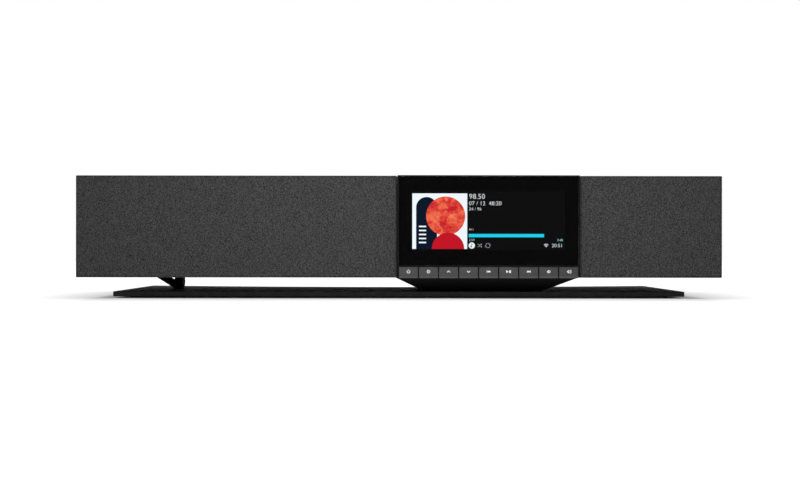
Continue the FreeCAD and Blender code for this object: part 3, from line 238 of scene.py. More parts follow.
# glass-fibre cone paper: a crossed fibre pattern pressed into a grey disc
def makeFibreCone():
    material, tree = startMaterial("glassFibreCone")
    place = objectPlace(tree)
    fibres = []
    for turn in cone["turns"]:
        rotation = (0, math.radians(turn), 0)
        turned = addNode(tree, "ShaderNodeMapping", {"Rotation": rotation}, {"Vector": place})
        wave = addNode(tree, "ShaderNodeTexWave", cone["fibres"], {"Vector": turned["Vector"]})
        fibres.append(wave["Fac"])
    mixed = addMath(tree, "MULTIPLY", *fibres)
    tone = addRamp(tree, mixed, [(0.0, "#2c2d30"), (1.0, "#55565a")])
    normal = addBump(tree, mixed, cone["bump"], cone["relief"])
    return finishSurface(material, {"Roughness": 0.55}, {"Base Color": tone, "Normal": normal})


metal = {"Metallic": 1.0}

# dark tone, light tone, grain, height of the relief, roughness, then the shader's other settings, the size
# of a patch of one tone and the spread of the roughness
surfaces = {
    # satin lacquer sprayed on board: near-black with a faint orange peel
    "satinLacquer": ("#161617", "#1c1c1e", 2.4, 0.05, 0.36),
    # epoxy powder coat on the base plate: matt black with a fine grit
    "powderCoat": ("#373737", "#424242", 0.7, 0.06, 0.58, {"Specular IOR Level": 0.25}),
    # satin paint over a zinc casting: deeper black than the plate, smooth enough to mirror it dimly
    "paintedCasting": ("#030303", "#060606", 1.6, 0.02, 0.42, {"Specular IOR Level": 0.04}),
    # soft-touch paint on the leg: the same black, but it takes no shine
    "softTouchPaint": ("#070707", "#0c0c0c", 1.2, 0.03, 0.65, {"Specular IOR Level": 0.1}),
    # moulded nitrile rubber: dull and slightly dusty
    "nitrileRubber": ("#131313", "#1d1d1d", 0.8, 0.08, 0.85),
    # ABS from a spark-eroded mould: a grey-black pebble that breaks up the shine
    "sparkTexturedABS": ("#19191a", "#212123", 0.6, 0.09, 0.58),
    # anodised aluminium frame: black dye in a bead-blasted skin, a dull metal edge
    "anodisedFrame": ("#17171a", "#222226", 0.5, 0.02, 0.4, {"Metallic": 0.8}),
    # polycarbonate keys, fine satin mould texture: charcoal that takes a soft highlight
    "satinPolycarbonate": ("#373737", "#404040", 0.5, 0.02, 0.45, {"IOR": 1.58}),
    # the keys' lower lip, a lighter copy of the key finish: a painted highlight of the bright floor below it
    "lipPaintedHighlight": ("#646464", "#6e6e6e", 0.8, 0.01, 0.3, {"IOR": 1.58}),
    # black screen-printed ink behind the glass and on its ground edges
    "maskInk": ("#050505", "#070707", 0.9, 0.005, 0.8, {"Specular IOR Level": 0.05}),
    # white ink on each key's sign, with a painted glow that makes it shine a little
    "signInkPaintedGlow": ("#e4e4e4", "#f4f4f4", 0.6, 0.01, 0.5,
                   {"Emission Color": linear("#f4f6f8"), "Emission Strength": 0.5}),
    # medium-density board stained black
    "stainedBoard": ("#1a1918", "#262423", 0.9, 0.1, 0.8),
    # pressed steel, trivalent zinc plated: cold grey with a cloudy sheen
    "zincPlatedSteel": ("#6f7275", "#8d9094", 1.2, 0.02, 0.35, metal, 5.0),
    # black-oxide screws: a dark oily metal
    "blackOxideSteel": ("#1d1d1f", "#2c2c2f", 0.4, 0.02, 0.38, metal),
    # powder-coated socket plate, smoother than the base
    "coatedSheet": ("#1a1a1c", "#222224", 0.5, 0.03, 0.5),
    # butyl rubber roll: very dark with a soft bloom
    "butylRubber": ("#0f0f10", "#181819", 0.7, 0.03, 0.6),
    # silk dome with a tacky coating, in a black moulding
    "coatedSilk": ("#151517", "#232327", 0.35, 0.05, 0.5),
    # amber polyimide film, cast smooth
    "polyimideFilm": ("#7a4a12", "#8e5a1c", 2.0, 0.01, 0.3),
    # glass-filled nylon switch and socket bodies, moulded with a dull skin
    "glassFilledNylon": ("#141415", "#202022", 0.5, 0.06, 0.55),
    # bright tinned steel shields, rolled smooth before they are folded
    "tinnedSteel": ("#b0b2b4", "#bcbec0", 1.0, 0.004, 0.28, metal, 6.0, 0.02),
    # nickel-plated brass contacts
    "nickelPlate": ("#b3ada2", "#cbc6bb", 0.8, 0.01, 0.22, metal),
    # gold flash on the contact springs
    "goldFlash": ("#b98a35", "#d2a54b", 0.6, 0.01, 0.25, metal),
    # extruded aluminium, left plain: a pale skin with a faint grain
    "extrudedAluminium": ("#9a9c9e", "#b4b6b8", 1.5, 0.03, 0.4, metal),
    # woven dust cloth behind the vents
    "dustMesh": ("#0e0e0f", "#161617", 0.4, 0.05, 0.8),
}

# lit areas of the liquid-crystal panel
litColours = {"litBlack": "#0b0b0c", "litWhite": "#e9edf0", "litGrey": "#a9adb0", "litCyan": "#1ccbe6",
              "litPaleCyan": "#9fe3ee", "litPaper": "#ecf4fa", "litNavy": "#091628", "litCrimson": "#c01425"}

patterned = (makeWovenPolyester, makeCoverGlass, makeMottledPigment, makeCircuitBoard, makeFibreCone)
finishes = {material.name: material for material in (make() for make in patterned)}
finishes |= {name: surfaceFinish(name, *facts) for name, facts in surfaces.items()}
finishes |= {name: litPixels(name, colour) for name, colour in litColours.items()}
print("finishes made,", len(finishes))


# Which finish each carried-over node has
nodeFinishes = {
    "satinLacquer": ["cabinet_wrap"],
    "stainedBoard": ["front_baffle", "chamber_dividers"],
    "sparkTexturedABS": ["rear_panel", "bay_frame", "left_grille_frame", "right_grille_frame"],
    "coatedSheet": ["socket_plate"],
    "nitrileRubber": ["base_feet"],
    "zincPlatedSteel": ["woofer_frames", "midrange_frames"],
    "coatedSilk": ["tweeters"],
    "butylRubber": ["surrounds"],
    "glassFibreCone": ["left_woofer_diaphragm", "right_woofer_diaphragm", "left_midrange_diaphragm",
                       "right_midrange_diaphragm", "bass_radiator"],
    "glassFilledNylon": ["lcd_panel", "key_switches", "optical_socket", "optical_shutter", "mains_inlet"],
    "solderMaskedBoard": ["display_board", "key_board", "main_board", "power_supply", "amplifier_board"],
    "polyimideFilm": ["display_ribbon"],
    "tinnedSteel": ["ethernet_socket", "usb_socket", "hdmi_socket"],
    "nickelPlate": ["inlet_pins", "signal_jack"],
    "extrudedAluminium": ["heat_sink"],
}


def dress(thing, finish):
    thing.data.materials.clear()
    thing.data.materials.append(finishes[finish])


for finish, names in nodeFinishes.items():
    for name in names:
        dress(nodes[name], finish)


# Mesh building

def meshFrom(shape, name):
    mesh = bpy.data.meshes.new(name)
    shape.to_mesh(mesh)
    shape.free()
    return mesh


def addObject(name, data):
    thing = bpy.data.objects.new(name, data)
    scene.collection.objects.link(thing)
    return thing


def objectFromMesh(mesh, name, finish, body="speaker"):
    thing = addObject(name, mesh)
    dress(thing, finish)
    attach(thing, body)
    return thing


def objectFrom(shape, name, finish, body="speaker"):
    return objectFromMesh(meshFrom(shape, name), name, finish, body)


# the plain mesh that a helper object's modifiers give; the helper itself is dropped
def bakedMesh(thing):
    view = bpy.context.evaluated_depsgraph_get()
    view.update()
    mesh = bpy.data.meshes.new_from_object(thing.evaluated_get(view), depsgraph=view)
    bpy.data.objects.remove(thing)
    return mesh


# vertices closer than join are one, faces flatter than flat are one, and outer edges over sharp are rounded
rounding = {"join": 0.002, "flatDegrees": 0.02, "sharpDegrees": 25}


# a node's own shape with its outer edges rounded, to stand for the node
def softened(nodeName, finish, width, body="speaker", segments=2):
    flat, sharp = math.radians(rounding["flatDegrees"]), math.radians(rounding["sharpDegrees"])
    shape = bmesh.new()
    shape.from_mesh(nodes[nodeName].data)
    bmesh.ops.remove_doubles(shape, verts=shape.verts, dist=rounding["join"] * mm)
    bmesh.ops.dissolve_limit(shape, angle_limit=flat, verts=shape.verts, edges=shape.edges)
    outer = [e for e in shape.edges if e.is_manifold and e.calc_face_angle_signed() > sharp]
    for face in shape.faces:
        face.smooth = False
    rounded = bmesh.ops.bevel(shape, geom=outer, offset=width * mm, segments=segments, profile=0.5,
                              affect="EDGES", clamp_overlap=True)["faces"]
    for face in rounded:
        face.smooth = True
    bmesh.ops.recalc_face_normals(shape, faces=shape.faces)
    thing = objectFrom(shape, f"{nodeName}_rounded", finish, body)
    normals = thing.data.attributes.get("custom_normal")
    if normals:
        thing.data.attributes.remove(normals)
    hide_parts(nodeName)
    return thing


# gives the faces that a test picks a second finish
def trim(thing, finish, picks):
    thing.data.materials.append(finishes[finish])
    for face in thing.data.polygons:
        if picks(face.normal):
            face.material_index = 1


# a closed slab on an outline of (x, z) pairs that runs anticlockwise as seen from the front
def addSlab(shape, outline, front, back):
    near = [shape.verts.new((x * mm, front * mm, z * mm)) for x, z in outline]
    far = [shape.verts.new((x * mm, back * mm, z * mm)) for x, z in outline]
    shape.faces.new(near)
    shape.faces.new(far[::-1])
    count = len(outline)
    for i in range(count):
        j = (i + 1) % count
        shape.faces.new([near[i], far[i], far[j], near[j]])


# a closed strip between two rows of (x, z) pairs, which lie left and right of the way along it
def addStrip(shape, left, right, front, back, closed):
    rows = []
    for points in (left, right):
        for depth in (front, back):
            rows.append([shape.verts.new((x * mm, depth * mm, z * mm)) for x, z in points])
    nearLeft, farLeft, nearRight, farRight = rows
    count = len(left)
    for i in range(count if closed else count - 1):
        j = (i + 1) % count
        shape.faces.new([nearRight[i], nearRight[j], nearLeft[j], nearLeft[i]])
        shape.faces.new([farLeft[i], farLeft[j], farRight[j], farRight[i]])
        shape.faces.new([nearRight[i], farRight[i], farRight[j], nearRight[j]])
        shape.faces.new([nearLeft[j], farLeft[j], farLeft[i], nearLeft[i]])
    if not closed:
        shape.faces.new([nearLeft[0], farLeft[0], farRight[0], nearRight[0]])
        shape.faces.new([nearRight[-1], farRight[-1], farLeft[-1], nearLeft[-1]])


leastMitre = 0.3  # keeps the point of a sharp corner short


# a closed band of even width along a path of (x, z) pairs
def addBand(shape, path, width, front, back, closed=False):
    count = len(path)
    left, right = [], []
    for i, (x, z) in enumerate(path):
        before = path[i - 1] if i or closed else path[0]
        after = path[(i + 1) % count] if i < count - 1 or closed else path[-1]
        steps = [Vector((x - before[0], z - before[1])), Vector((after[0] - x, after[1] - z))]
        steps = [s.normalized() for s in steps if s.length > 0]
        along = sum(steps, Vector((0, 0))).normalized()
        reach = width / 2 / max(leastMitre, along.dot(steps[0]))
        side = Vector((-along.y, along.x)) * reach
        left.append((x + side.x, z + side.y))
        right.append((x - side.x, z - side.y))
    addStrip(shape, left, right, front, back, closed)


# a shape from strokes, each a slab or else a band or closed ring of the given line or of its own width
def drawStrokes(strokes, middle, depths, line=None):
    shape = bmesh.new()
    for kind, points, *width in strokes:
        placed = [(middle[0] + x, middle[1] + z) for x, z in points]
        if kind == "slab":
            addSlab(shape, placed, *depths)
        else:
            addBand(shape, placed, *(width or [line]), *depths, closed=kind == "ring")
    return shape


def arcPath(x, z, radius, start=0.0, end=360.0, steps=24):
    closed = abs(end - start) >= 360
    count = steps if closed else steps + 1
    turns = [math.radians(start + (end - start) * i / steps) for i in range(count)]
    return [(x + radius * math.cos(t), z + radius * math.sin(t)) for t in turns]


def boxPath(x0, x1, z0, z1):
    return [(x0, z0), (x1, z0), (x1, z1), (x0, z1)]


# Camera: level, a little above the plate, about 1.2 m in front of the glass; focal length in image pixels
camera = {"place": (-5.4, -1379.1, 52.95), "turnDegrees": -0.281, "rollDegrees": -0.057, "focal": 1178.9,
          "sensor": 36.0, "imageWidth": 800, "near": 10.0}


def makeCamera():
    data = bpy.data.cameras.new("camera")
    data.sensor_width = camera["sensor"]
    data.lens = camera["focal"] / camera["imageWidth"] * camera["sensor"]
    data.clip_start = camera["near"] * mm
    eye = addObject("camera", data)
    eye.location = Vector(camera["place"]) * mm
    turns = (90, camera["rollDegrees"], camera["turnDegrees"])
    eye.rotation_euler = [math.radians(turn) for turn in turns]
    scene.camera = eye


makeCamera()


# Grille cloths: each is stretched over its frame, with the yarns' crossings raised from the front

# crossings are raised inside a margin counted in edge radii, each second one pulled in by at least leastPull
cloth = {"cell": 1.0, "edgeRadius": 1.3, "edgeSteps": 3, "thickness": 0.5, "relief": 0.07, "margin": 1.6,
         "leastPull": 0.5, "bendDegrees": 45, "sideOn": 0.7, "flatness": 0.0001, "seed": 4}


# the front and the four edges of a box as one sheet on a grid, with round bends
def drapedGrid(low, high):
    width, height, cell = high.x - low.x, high.z - low.z, cloth["cell"] * mm
    shape = bmesh.new()
    bmesh.ops.create_grid(shape, x_segments=round(width / cell), y_segments=round(height / cell), size=0.5)
    toFront = Matrix.Translation(((low.x + high.x) / 2, low.y, (low.z + high.z) / 2))
    upright = Matrix.Rotation(math.radians(90), 4, "X")
    shape.transform(toFront @ upright @ Matrix.Diagonal((width, height, 1, 1)))
    rim = [e for e in shape.edges if e.is_boundary]
    grown = bmesh.ops.extrude_edge_only(shape, edges=rim)["geom"]
    for vert in [g for g in grown if isinstance(g, bmesh.types.BMVert)]:
        vert.co.y = high.y
    bends = [e for e in shape.edges if e.calc_face_angle(0) > math.radians(cloth["bendDegrees"])]
    bmesh.ops.bevel(shape, geom=bends, offset=cloth["edgeRadius"] * mm, segments=cloth["edgeSteps"],
                    profile=0.5, affect="EDGES")
    bmesh.ops.recalc_face_normals(shape, faces=shape.faces)
    return shape


def raiseCrossings(shape, low, high):
    chance = random.Random(cloth["seed"])
    cell, edge = cloth["cell"] * mm, cloth["margin"] * cloth["edgeRadius"] * mm
    for vert in shape.verts:
        x, y, z = vert.co
        inside = low.x + edge < x < high.x - edge and low.z + edge < z < high.z - edge
        if inside and abs(y - low.y) < cloth["flatness"] * mm:
            over = (round((x - low.x) / cell) + round((z - low.z) / cell)) % 2
            vert.co.y += cloth["relief"] * mm * (1 - over * chance.uniform(cloth["leastPull"], 1.0))


# the cloth's own flat coordinates in metres: the edges carry on from the front
def unfoldCloth(shape, low):
    unfold = shape.loops.layers.uv.new("cloth")
    for face in shape.faces:
        across, up = face.normal.x, face.normal.z
        for loop in face.loops:
            x, y, z = loop.vert.co
            back = y - low.y
            u = x + math.copysign(back if abs(across) > cloth["sideOn"] else 0, across)
            v = z + math.copysign(back if abs(up) > cloth["sideOn"] else 0, up)
            loop[unfold].uv = (u, v)


def makeGrilleCloth(side):
    low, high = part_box(f"{side}_grille_cloth")
    shape = drapedGrid(low, high)
    raiseCrossings(shape, low, high)
    unfoldCloth(shape, low)
    raw = addObject("rawCloth", meshFrom(shape, f"{side}_woven_cloth"))
    wall = raw.modifiers.new("wall", "SOLIDIFY")
    wall.thickness = cloth["thickness"] * mm
    wall.offset = -1
    thing = objectFromMesh(bakedMesh(raw), f"{side}_woven_cloth", "wovenPolyester")
    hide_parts(f"{side}_grille_cloth")
    print(side, "cloth woven,", len(thing.data.polygons), "faces")


for side in ("left", "right"):
    makeGrilleCloth(side)


# Rounded bodies

softened("base_plate", "powderCoat", width=0.5)
softened("pedestal_neck", "paintedCasting", width=0.5, segments=3)
softened("support_leg", "softTouchPaint", width=0.4, segments=3)
softened("display_housing", "anodisedFrame", width=0.2)
glass = softened("display_glass", "polishedCoverGlass", width=0.25)
# parts of a normal: the glass's ground edges turn away from the front, a key's lip slopes down and forwards
leans = {"edge": 0.4, "lipLow": -0.8, "lipHigh": -0.5}
trim(glass, "maskInk", lambda normal: abs(normal.y) < leans["edge"])
keyNames = ["power", "source", "up", "down", "previous", "play", "next", "quieter", "louder"]
for name in keyNames:
    key = softened(f"{name}_key", "satinPolycarbonate", width=0.4, body=f"{name}_key")
    # the lip that slopes down and forwards takes the lighter copy, a painted highlight
    trim(key, "lipPaintedHighlight",
         lambda normal: leans["lipLow"] < normal.z < leans["lipHigh"] and normal.y < leans["lipHigh"])
print("bodies rounded")


# Signs printed on the keys, each about 4 mm wide and drawn round its own middle

signs = {"line": 0.5, "below": 4.7, "proud": 0.02, "sunk": 0.1}


# two heads against a bar, pointing right for 1 and left for -1
def skipSign(way):
    heads = [[(start, -1.2), (start + 1.55, 0), (start, 1.2)] for start in (-1.75, -0.15)]
    strokes = [("slab", [(way * x, z) for x, z in head][::way]) for head in heads]
    return strokes + [("band", [(way * 1.75, -1.25), (way * 1.75, 1.25)])]


# a small loudspeaker and its waves
def volumeSign(x, waves):
    lower = [(x - 1.9, -0.4), (x - 1.3, -0.4), (x - 0.2, -1.4)]
    horn = lower + [(across, -up) for across, up in lower[::-1]]
    arcs = [arcPath(x - 0.4, 0, 1.5 + 1.15 * i, -46, 46, 8) for i in range(waves)]
    return [("ring", horn)] + [("band", arc) for arc in arcs]


keySigns = {
    "power": [("band", arcPath(0, -0.1, 1.5, 125, 415, 22)), ("band", [(0, 0.9), (0, 2.1)])],
    "source": [("ring", arcPath(0, 0, 1.5)), ("slab", arcPath(0, 0, 0.4, steps=16))],
    "up": [("band", [(-1.7, -0.85), (0, 0.85), (1.7, -0.85)])],
    "down": [("band", [(-1.7, 0.85), (0, -0.85), (1.7, 0.85)])],
    "previous": skipSign(-1),
    "play": [("slab", [(-2.5, -1.45), (-0.2, 0), (-2.5, 1.45)]), ("slab", boxPath(0.52, 1.28, -1.4, 1.4)),
             ("slab", boxPath(1.62, 2.38, -1.4, 1.4))],
    "next": skipSign(1),
    "quieter": volumeSign(0.4, 1),
    "louder": volumeSign(0.2, 2),
}


def makeKeySign(name):
    low, middle, high = boxIn(f"{name}_key")
    depths = (low.y - signs["proud"], low.y + signs["sunk"])
    shape = drawStrokes(keySigns[name], (middle.x, high.z - signs["below"]), depths, signs["line"])
    # each sign is white ink with a painted glow
    objectFrom(shape, f"{name}_sign", "signInkPaintedGlow", f"{name}_key")


for name in keyNames:
    makeKeySign(name)
print("key signs printed")


# Screen: a lit panel behind the glass, seen through a window in the printed mask

# places are counted from the panel's lower left corner, and boxes are left, right, low and high; layers are
# counted from the glass to the panel, and each fills part of its step
screen = {
    "lit": (2.4, 163.0, 3.0, 64.5), "bar": (62.2, 141.2, 16.5, 20.0), "layer": 0.03, "layerFill": 0.7,
    "maskLayer": 2, "maskEdge": 0.3, "signRow": 7.8, "disc": 65.4, "discRadius": 3.3, "shuffle": 73.8,
    "repeat": 82.2, "repeatRadius": 2.3, "radio": 143.4, "radioDrop": 1.6,
}
# each line of figures has its height, size, finish, alignment and text
figures = {
    "title": (56.7, 5.4, "litWhite", "LEFT", "98.50"),
    "second": (50.0, 4.3, "litWhite", "LEFT", "07 / 12  48:20"),
    "third": (44.6, 3.3, "litWhite", "LEFT", "24 / 96"),
    "format": (23.6, 2.1, "litWhite", "LEFT", "44.1"),
    "elapsed": (12.4, 2.5, "litPaleCyan", "LEFT", "2:59"),
    "total": (12.4, 2.5, "litPaleCyan", "RIGHT", "3:48"),
    "clock": (6.1, 3.7, "litWhite", "RIGHT", "20:51"),
}
# where the figures are aligned, their layer, the height of a capital in the plain face, how far its outline
# is drawn in for a light weight, and the fineness and thickness of the mesh
face = {"LEFT": 62.3, "RIGHT": 160.9, "layer": 2, "capital": 0.7, "thin": 0.012, "steps": 3, "thick": 0.25}
# a mottled disc over navy and crimson rounded hills, with a band of short bars; a circle is x, z and radius
picture = {
    "corner": (3.0, 4.2), "paper": (0, 57.6, 0, 58.2), "archLeft": 4.0, "archRight": 26.0, "archTop": 54.5,
    "disc": (35.0, 34.5, 20.5), "hill": (37.5, 0, 17.0), "barLeft": 7.0, "barRight": 14.5, "barLow": 6.0,
    "barHeight": 1.5, "barPitch": 4.2, "bars": 5,
}
panel = boxIn("lcd_panel")[0]
glassLow, _, glassHigh = boxIn("display_glass")


def onPanel(x, z):
    return panel.x + x, panel.z + z


# the depths of a thin layer inside the glass
def layerDepths(level):
    back = glassHigh.y - screen["layer"] * level
    return back - screen["layer"] * screen["layerFill"], back


def makeMask():
    edge = screen["maskEdge"]
    outer = boxPath(glassLow.x + edge, glassHigh.x - edge, glassLow.z + edge, glassHigh.z - edge)
    window = [onPanel(x, z) for x, z in boxPath(*screen["lit"])]
    shape = bmesh.new()
    addStrip(shape, window, outer, *layerDepths(screen["maskLayer"]), closed=True)
    objectFrom(shape, "printed_mask", "maskInk")


def archPath():
    left, right = picture["archLeft"], picture["archRight"]
    radius = (right - left) / 2
    crown = arcPath((left + right) / 2, picture["archTop"] - radius, radius, 0, 180, 20)
    return [(left, 0), (right, 0)] + crown


def barPaths():
    left, right, height = picture["barLeft"], picture["barRight"], picture["barHeight"]
    lows = [picture["barLow"] + i * picture["barPitch"] for i in range(picture["bars"])]
    return [boxPath(left, right, low, low + height) for low in lows]


def shuffleSign():
    strokes = []
    for z in (1.3, -1.3):
        strokes.append(("band", [(-2.3, z), (-1.1, z), (0.9, -z), (1.6, -z)], 0.35))
        strokes.append(("slab", [(1.5, -z - 0.75), (2.5, -z), (1.5, -z + 0.75)]))
    return strokes


def repeatSign(radius):
    strokes = []
    for turn in (0, 180):
        strokes.append(("band", arcPath(0, 0, radius, turn + 25, turn + 160, 12), 0.38))
        tip = math.radians(turn + 20)
        out = Vector((math.cos(tip), math.sin(tip)))
        along = Vector((out.y, -out.x))
        head = [out * (radius - 0.85), out * radius + along * 1.1, out * (radius + 0.85)]
        strokes.append(("slab", [tuple(corner) for corner in head]))
    return strokes


noteSign = [("slab", arcPath(-0.7, -1.2, 0.75, steps=14)),
            ("band", [(-0.1, -1.2), (-0.1, 1.7), (1.2, 1.1)], 0.42)]
radioSign = [("slab", [(0, 0)] + arcPath(0, 0, 1.3, 45, 135, 8)),
             ("band", arcPath(0, 0, 2.1, 45, 135, 10), 0.5), ("band", arcPath(0, 0, 3.2, 45, 135, 10), 0.5)]
discSign = [("slab", arcPath(0, 0, screen["discRadius"], steps=32))]
row, corner = screen["signRow"], picture["corner"]
# each lit piece has its finish, its layer, the spot that it is drawn round, and its strokes
litPieces = {
    "screen_glow": ("litBlack", 0, (0, 0), [("slab", boxPath(*screen["lit"]))]),
    "picture_paper": ("litPaper", 1, corner, [("slab", boxPath(*picture["paper"]))]),
    "picture_arch": ("litNavy", 2, corner, [("slab", archPath())]),
    "picture_disc": ("mottledPigment", 3, corner, [("slab", arcPath(*picture["disc"], steps=48))]),
    "picture_hill": ("litCrimson", 4, corner, [("slab", arcPath(*picture["hill"], 0, 180, 32))]),
    "picture_bars": ("litPaper", 4, corner, [("slab", path) for path in barPaths()]),
    "progress_bar": ("litCyan", 2, (0, 0), [("slab", boxPath(*screen["bar"]))]),
    "sign_disc": ("litWhite", 2, (screen["disc"], row), discSign),
    "sign_note": ("litBlack", 3, (screen["disc"], row), noteSign),
    "sign_shuffle": ("litGrey", 2, (screen["shuffle"], row), shuffleSign()),
    "sign_repeat": ("litGrey", 2, (screen["repeat"], row), repeatSign(screen["repeatRadius"])),
    "sign_radio": ("litWhite", 2, (screen["radio"], row - screen["radioDrop"]), radioSign),
}


def makeFigures(name, z, size, finish, alignment, words):
    data = bpy.data.curves.new(name, "FONT")
    data.body = words
    data.size = size * mm / face["capital"]
    data.offset = -face["thin"] * data.size
    data.align_x = alignment
    data.resolution_u = face["steps"]
    data.extrude = face["thick"] * screen["layer"] * mm
    mesh = bakedMesh(addObject("rawText", data))
    front, back = layerDepths(face["layer"])
    x, z = onPanel(face[alignment], z)
    stand = Matrix.Translation(Vector((x, (front + back) / 2, z)) * mm)
    mesh.transform(stand @ Matrix.Rotation(math.radians(90), 4, "X"))
    objectFromMesh(mesh, name, finish)


makeMask()
for name, (finish, level, middle, strokes) in litPieces.items():
    shape = drawStrokes(strokes, onPanel(*middle), layerDepths(level))
    objectFrom(shape, name, finish)
for name, facts in figures.items():
    makeFigures(f"screen_{name}", *facts)
print("screen lit")


# Geometry Nodes: a tree is built with named sizes, grown once on a seed object and kept as a plain mesh

socketKinds = {float: "NodeSocketFloat", int: "NodeSocketInt"}


def startTree(name, sizes):
    tree = bpy.data.node_groups.new(name, "GeometryNodeTree")
    tree.interface.new_socket("Seed Points", in_out="INPUT", socket_type="NodeSocketGeometry")
    for label, value in sizes.items():
        made = tree.interface.new_socket(label, in_out="INPUT", socket_type=socketKinds[type(value)])
        made.default_value = value
    tree.interface.new_socket("Finish", in_out="INPUT", socket_type="NodeSocketMaterial")
    tree.interface.new_socket("Geometry", in_out="OUTPUT", socket_type="NodeSocketGeometry")
    return tree, addNode(tree, "NodeGroupInput")


# stands the grown thing on each seed point and gives it its finish
def endTree(tree, inputs, thing, links=()):
    stood = addNode(tree, "GeometryNodeInstanceOnPoints", {},
                    {"Points": inputs["Seed Points"], "Instance": thing} | dict(links))
    real = addNode(tree, "GeometryNodeRealizeInstances", {}, {"Geometry": stood[0]})
    painted = addNode(tree, "GeometryNodeSetMaterial", {},
                      {"Geometry": real[0], "Material": inputs["Finish"]})
    addNode(tree, "NodeGroupOutput", {}, {"Geometry": painted[0]})
    return tree


def addVector(tree, **axes):
    return addNode(tree, "ShaderNodeCombineXYZ", {}, axes)["Vector"]


def addBlock(tree, **sides):
    return addNode(tree, "GeometryNodeMeshCube", {}, {"Size": addVector(tree, **sides)})["Mesh"]


def grow(name, tree, sizes, points, finish):
    seed = bpy.data.meshes.new("seed")
    seed.from_pydata([Vector(p) * mm for p in points], [], [])
    raw = addObject("rawGrowth", seed)
    growth = raw.modifiers.new("growth", "NODES")
    growth.node_group = tree
    values = sizes | {"Finish": finishes[finish]}
    for item in tree.interface.items_tree:
        if item.in_out == "INPUT" and item.name in values:
            growth[item.identifier] = values[item.name]
    return objectFromMesh(bakedMesh(raw), name, finish)


# sizes are base radius, top radius, height and width of the recess; the recess spans more than the top
screw = {"labels": ("Base Radius", "Top Radius", "Head Height", "Recess Width"), "recessSpan": 1.3,
         "outline": {"Vertices": 20, "Side Segments": 2, "Fill Segments": 1}}
rearScrews = {"inset": 3.6, "columns": 6, "proud": 0.1, "sizes": (1.5, 2.5, 1.2, 0.8)}
baseScrews = {"neckSpan": 78.0, "neckRun": 66.0, "neckBack": 15.0, "legRun": 13.0, "legRight": 3.9,
              "sizes": (4.2, 3.0, 1.2, 1.2), "legSizes": (2.4, 1.7, 1.2, 0.8)}


def screwInputs(sizes, turnDegrees=0):
    facts = {label: size * mm for label, size in zip(screw["labels"], sizes)}
    return facts | {"Turn": math.radians(turnDegrees)}


# screw heads with a cross recess, facing +Y, or -Z when turned over: wide at the base for a pan head,
# wide at the top for a flat one
def makeScrewTree():
    tree, inputs = startTree("screwHeads", screwInputs(rearScrews["sizes"]))
    height, wide = inputs["Head Height"], inputs["Recess Width"]
    head = addNode(tree, "GeometryNodeMeshCone", screw["outline"],
                   {"Radius Top": inputs["Top Radius"], "Radius Bottom": inputs["Base Radius"],
                    "Depth": height})["Mesh"]
    span = addMath(tree, "MULTIPLY", inputs["Top Radius"], screw["recessSpan"])
    lift = addVector(tree, Z=height)
    for x, y in ((span, wide), (wide, span)):
        arm = addNode(tree, "GeometryNodeTransform", {},
                      {"Geometry": addBlock(tree, X=x, Y=y, Z=height), "Translation": lift})
        head = addNode(tree, "GeometryNodeMeshBoolean", {"operation": "DIFFERENCE", "solver": "EXACT"},
                       {0: head, 1: arm[0]})[0]
    return endTree(tree, inputs, head, {"Rotation": addVector(tree, X=inputs["Turn"])})


def barInputs(count, size, pitch=0.0, up=0.0):
    facts = {"Pitch": pitch, "Bar X": size[0], "Bar Y": size[1], "Bar Z": size[2], "Up": up}
    return {"Count": count} | {label: value * mm for label, value in facts.items()}


# a row or a field of equal bars: contacts in a socket, or the threads of a dust mesh
def makeBarTree():
    tree, inputs = startTree("barRow", barInputs(1, (1.0, 1.0, 1.0)))
    shift = addVector(tree, X=inputs["Pitch"], Z=inputs["Up"])
    line = addNode(tree, "GeometryNodeMeshLine", {}, {"Count": inputs["Count"], "Offset": shift})
    bar = addBlock(tree, X=inputs["Bar X"], Y=inputs["Bar Y"], Z=inputs["Bar Z"])
    bars = addNode(tree, "GeometryNodeInstanceOnPoints", {}, {"Points": line[0], "Instance": bar})
    flat = addNode(tree, "GeometryNodeRealizeInstances", {}, {"Geometry": bars[0]})
    return endTree(tree, inputs, flat[0])


screwTree = makeScrewTree()
barTree = makeBarTree()


def growScrews(name, points, sizes, turnDegrees):
    grow(name, screwTree, screwInputs(sizes, turnDegrees), points, "blackOxideSteel")


def makeRearScrews():
    low, _, high = boxIn("rear_panel")
    inset, last = rearScrews["inset"], rearScrews["columns"] - 1
    x0, x1 = low.x + inset, high.x - inset
    y = high.y + rearScrews["proud"] - rearScrews["sizes"][2]
    points = []
    for z in (low.z + inset, high.z - inset):
        points += [(x0 + (x1 - x0) * i / last, y, z) for i in range(last + 1)]
    growScrews("rear_screws", points, rearScrews["sizes"], turnDegrees=-90)


def makeBaseScrews():
    under = boxIn("base_plate")[0].z
    middle = boxIn("pedestal_neck")[1]
    span, run, y = baseScrews["neckSpan"], baseScrews["neckRun"], middle.y + baseScrews["neckBack"]
    points = [(middle.x + sx * span / 2, y + sy * run / 2, under) for sx in (-1, 1) for sy in (-1, 1)]
    growScrews("base_screws", points, baseScrews["sizes"], turnDegrees=180)
    # the leg's foot is at the right of its box, as its left flank slopes out
    _, middle, high = boxIn("support_leg")
    points = [(high.x - baseScrews["legRight"], middle.y + way * baseScrews["legRun"] / 2, under)
              for way in (-1, 1)]
    growScrews("leg_screws", points, baseScrews["legSizes"], turnDegrees=180)


# gilt contacts: how many, their pitch, width and depth, and how far they lie below the socket's middle
contacts = {
    "ethernet": {"count": 8, "pitch": 1.02, "wide": 0.4, "deep": 7.0, "drop": 3.2},
    "usb": {"count": 4, "pitch": 2.2, "wide": 1.0, "deep": 6.0, "drop": 0.27},
    "hdmi": {"count": 10, "pitch": 1.0, "wide": 0.45, "deep": 6.5, "drop": -0.78},
}
allContacts = {"thick": 0.2, "setBack": 1.6}


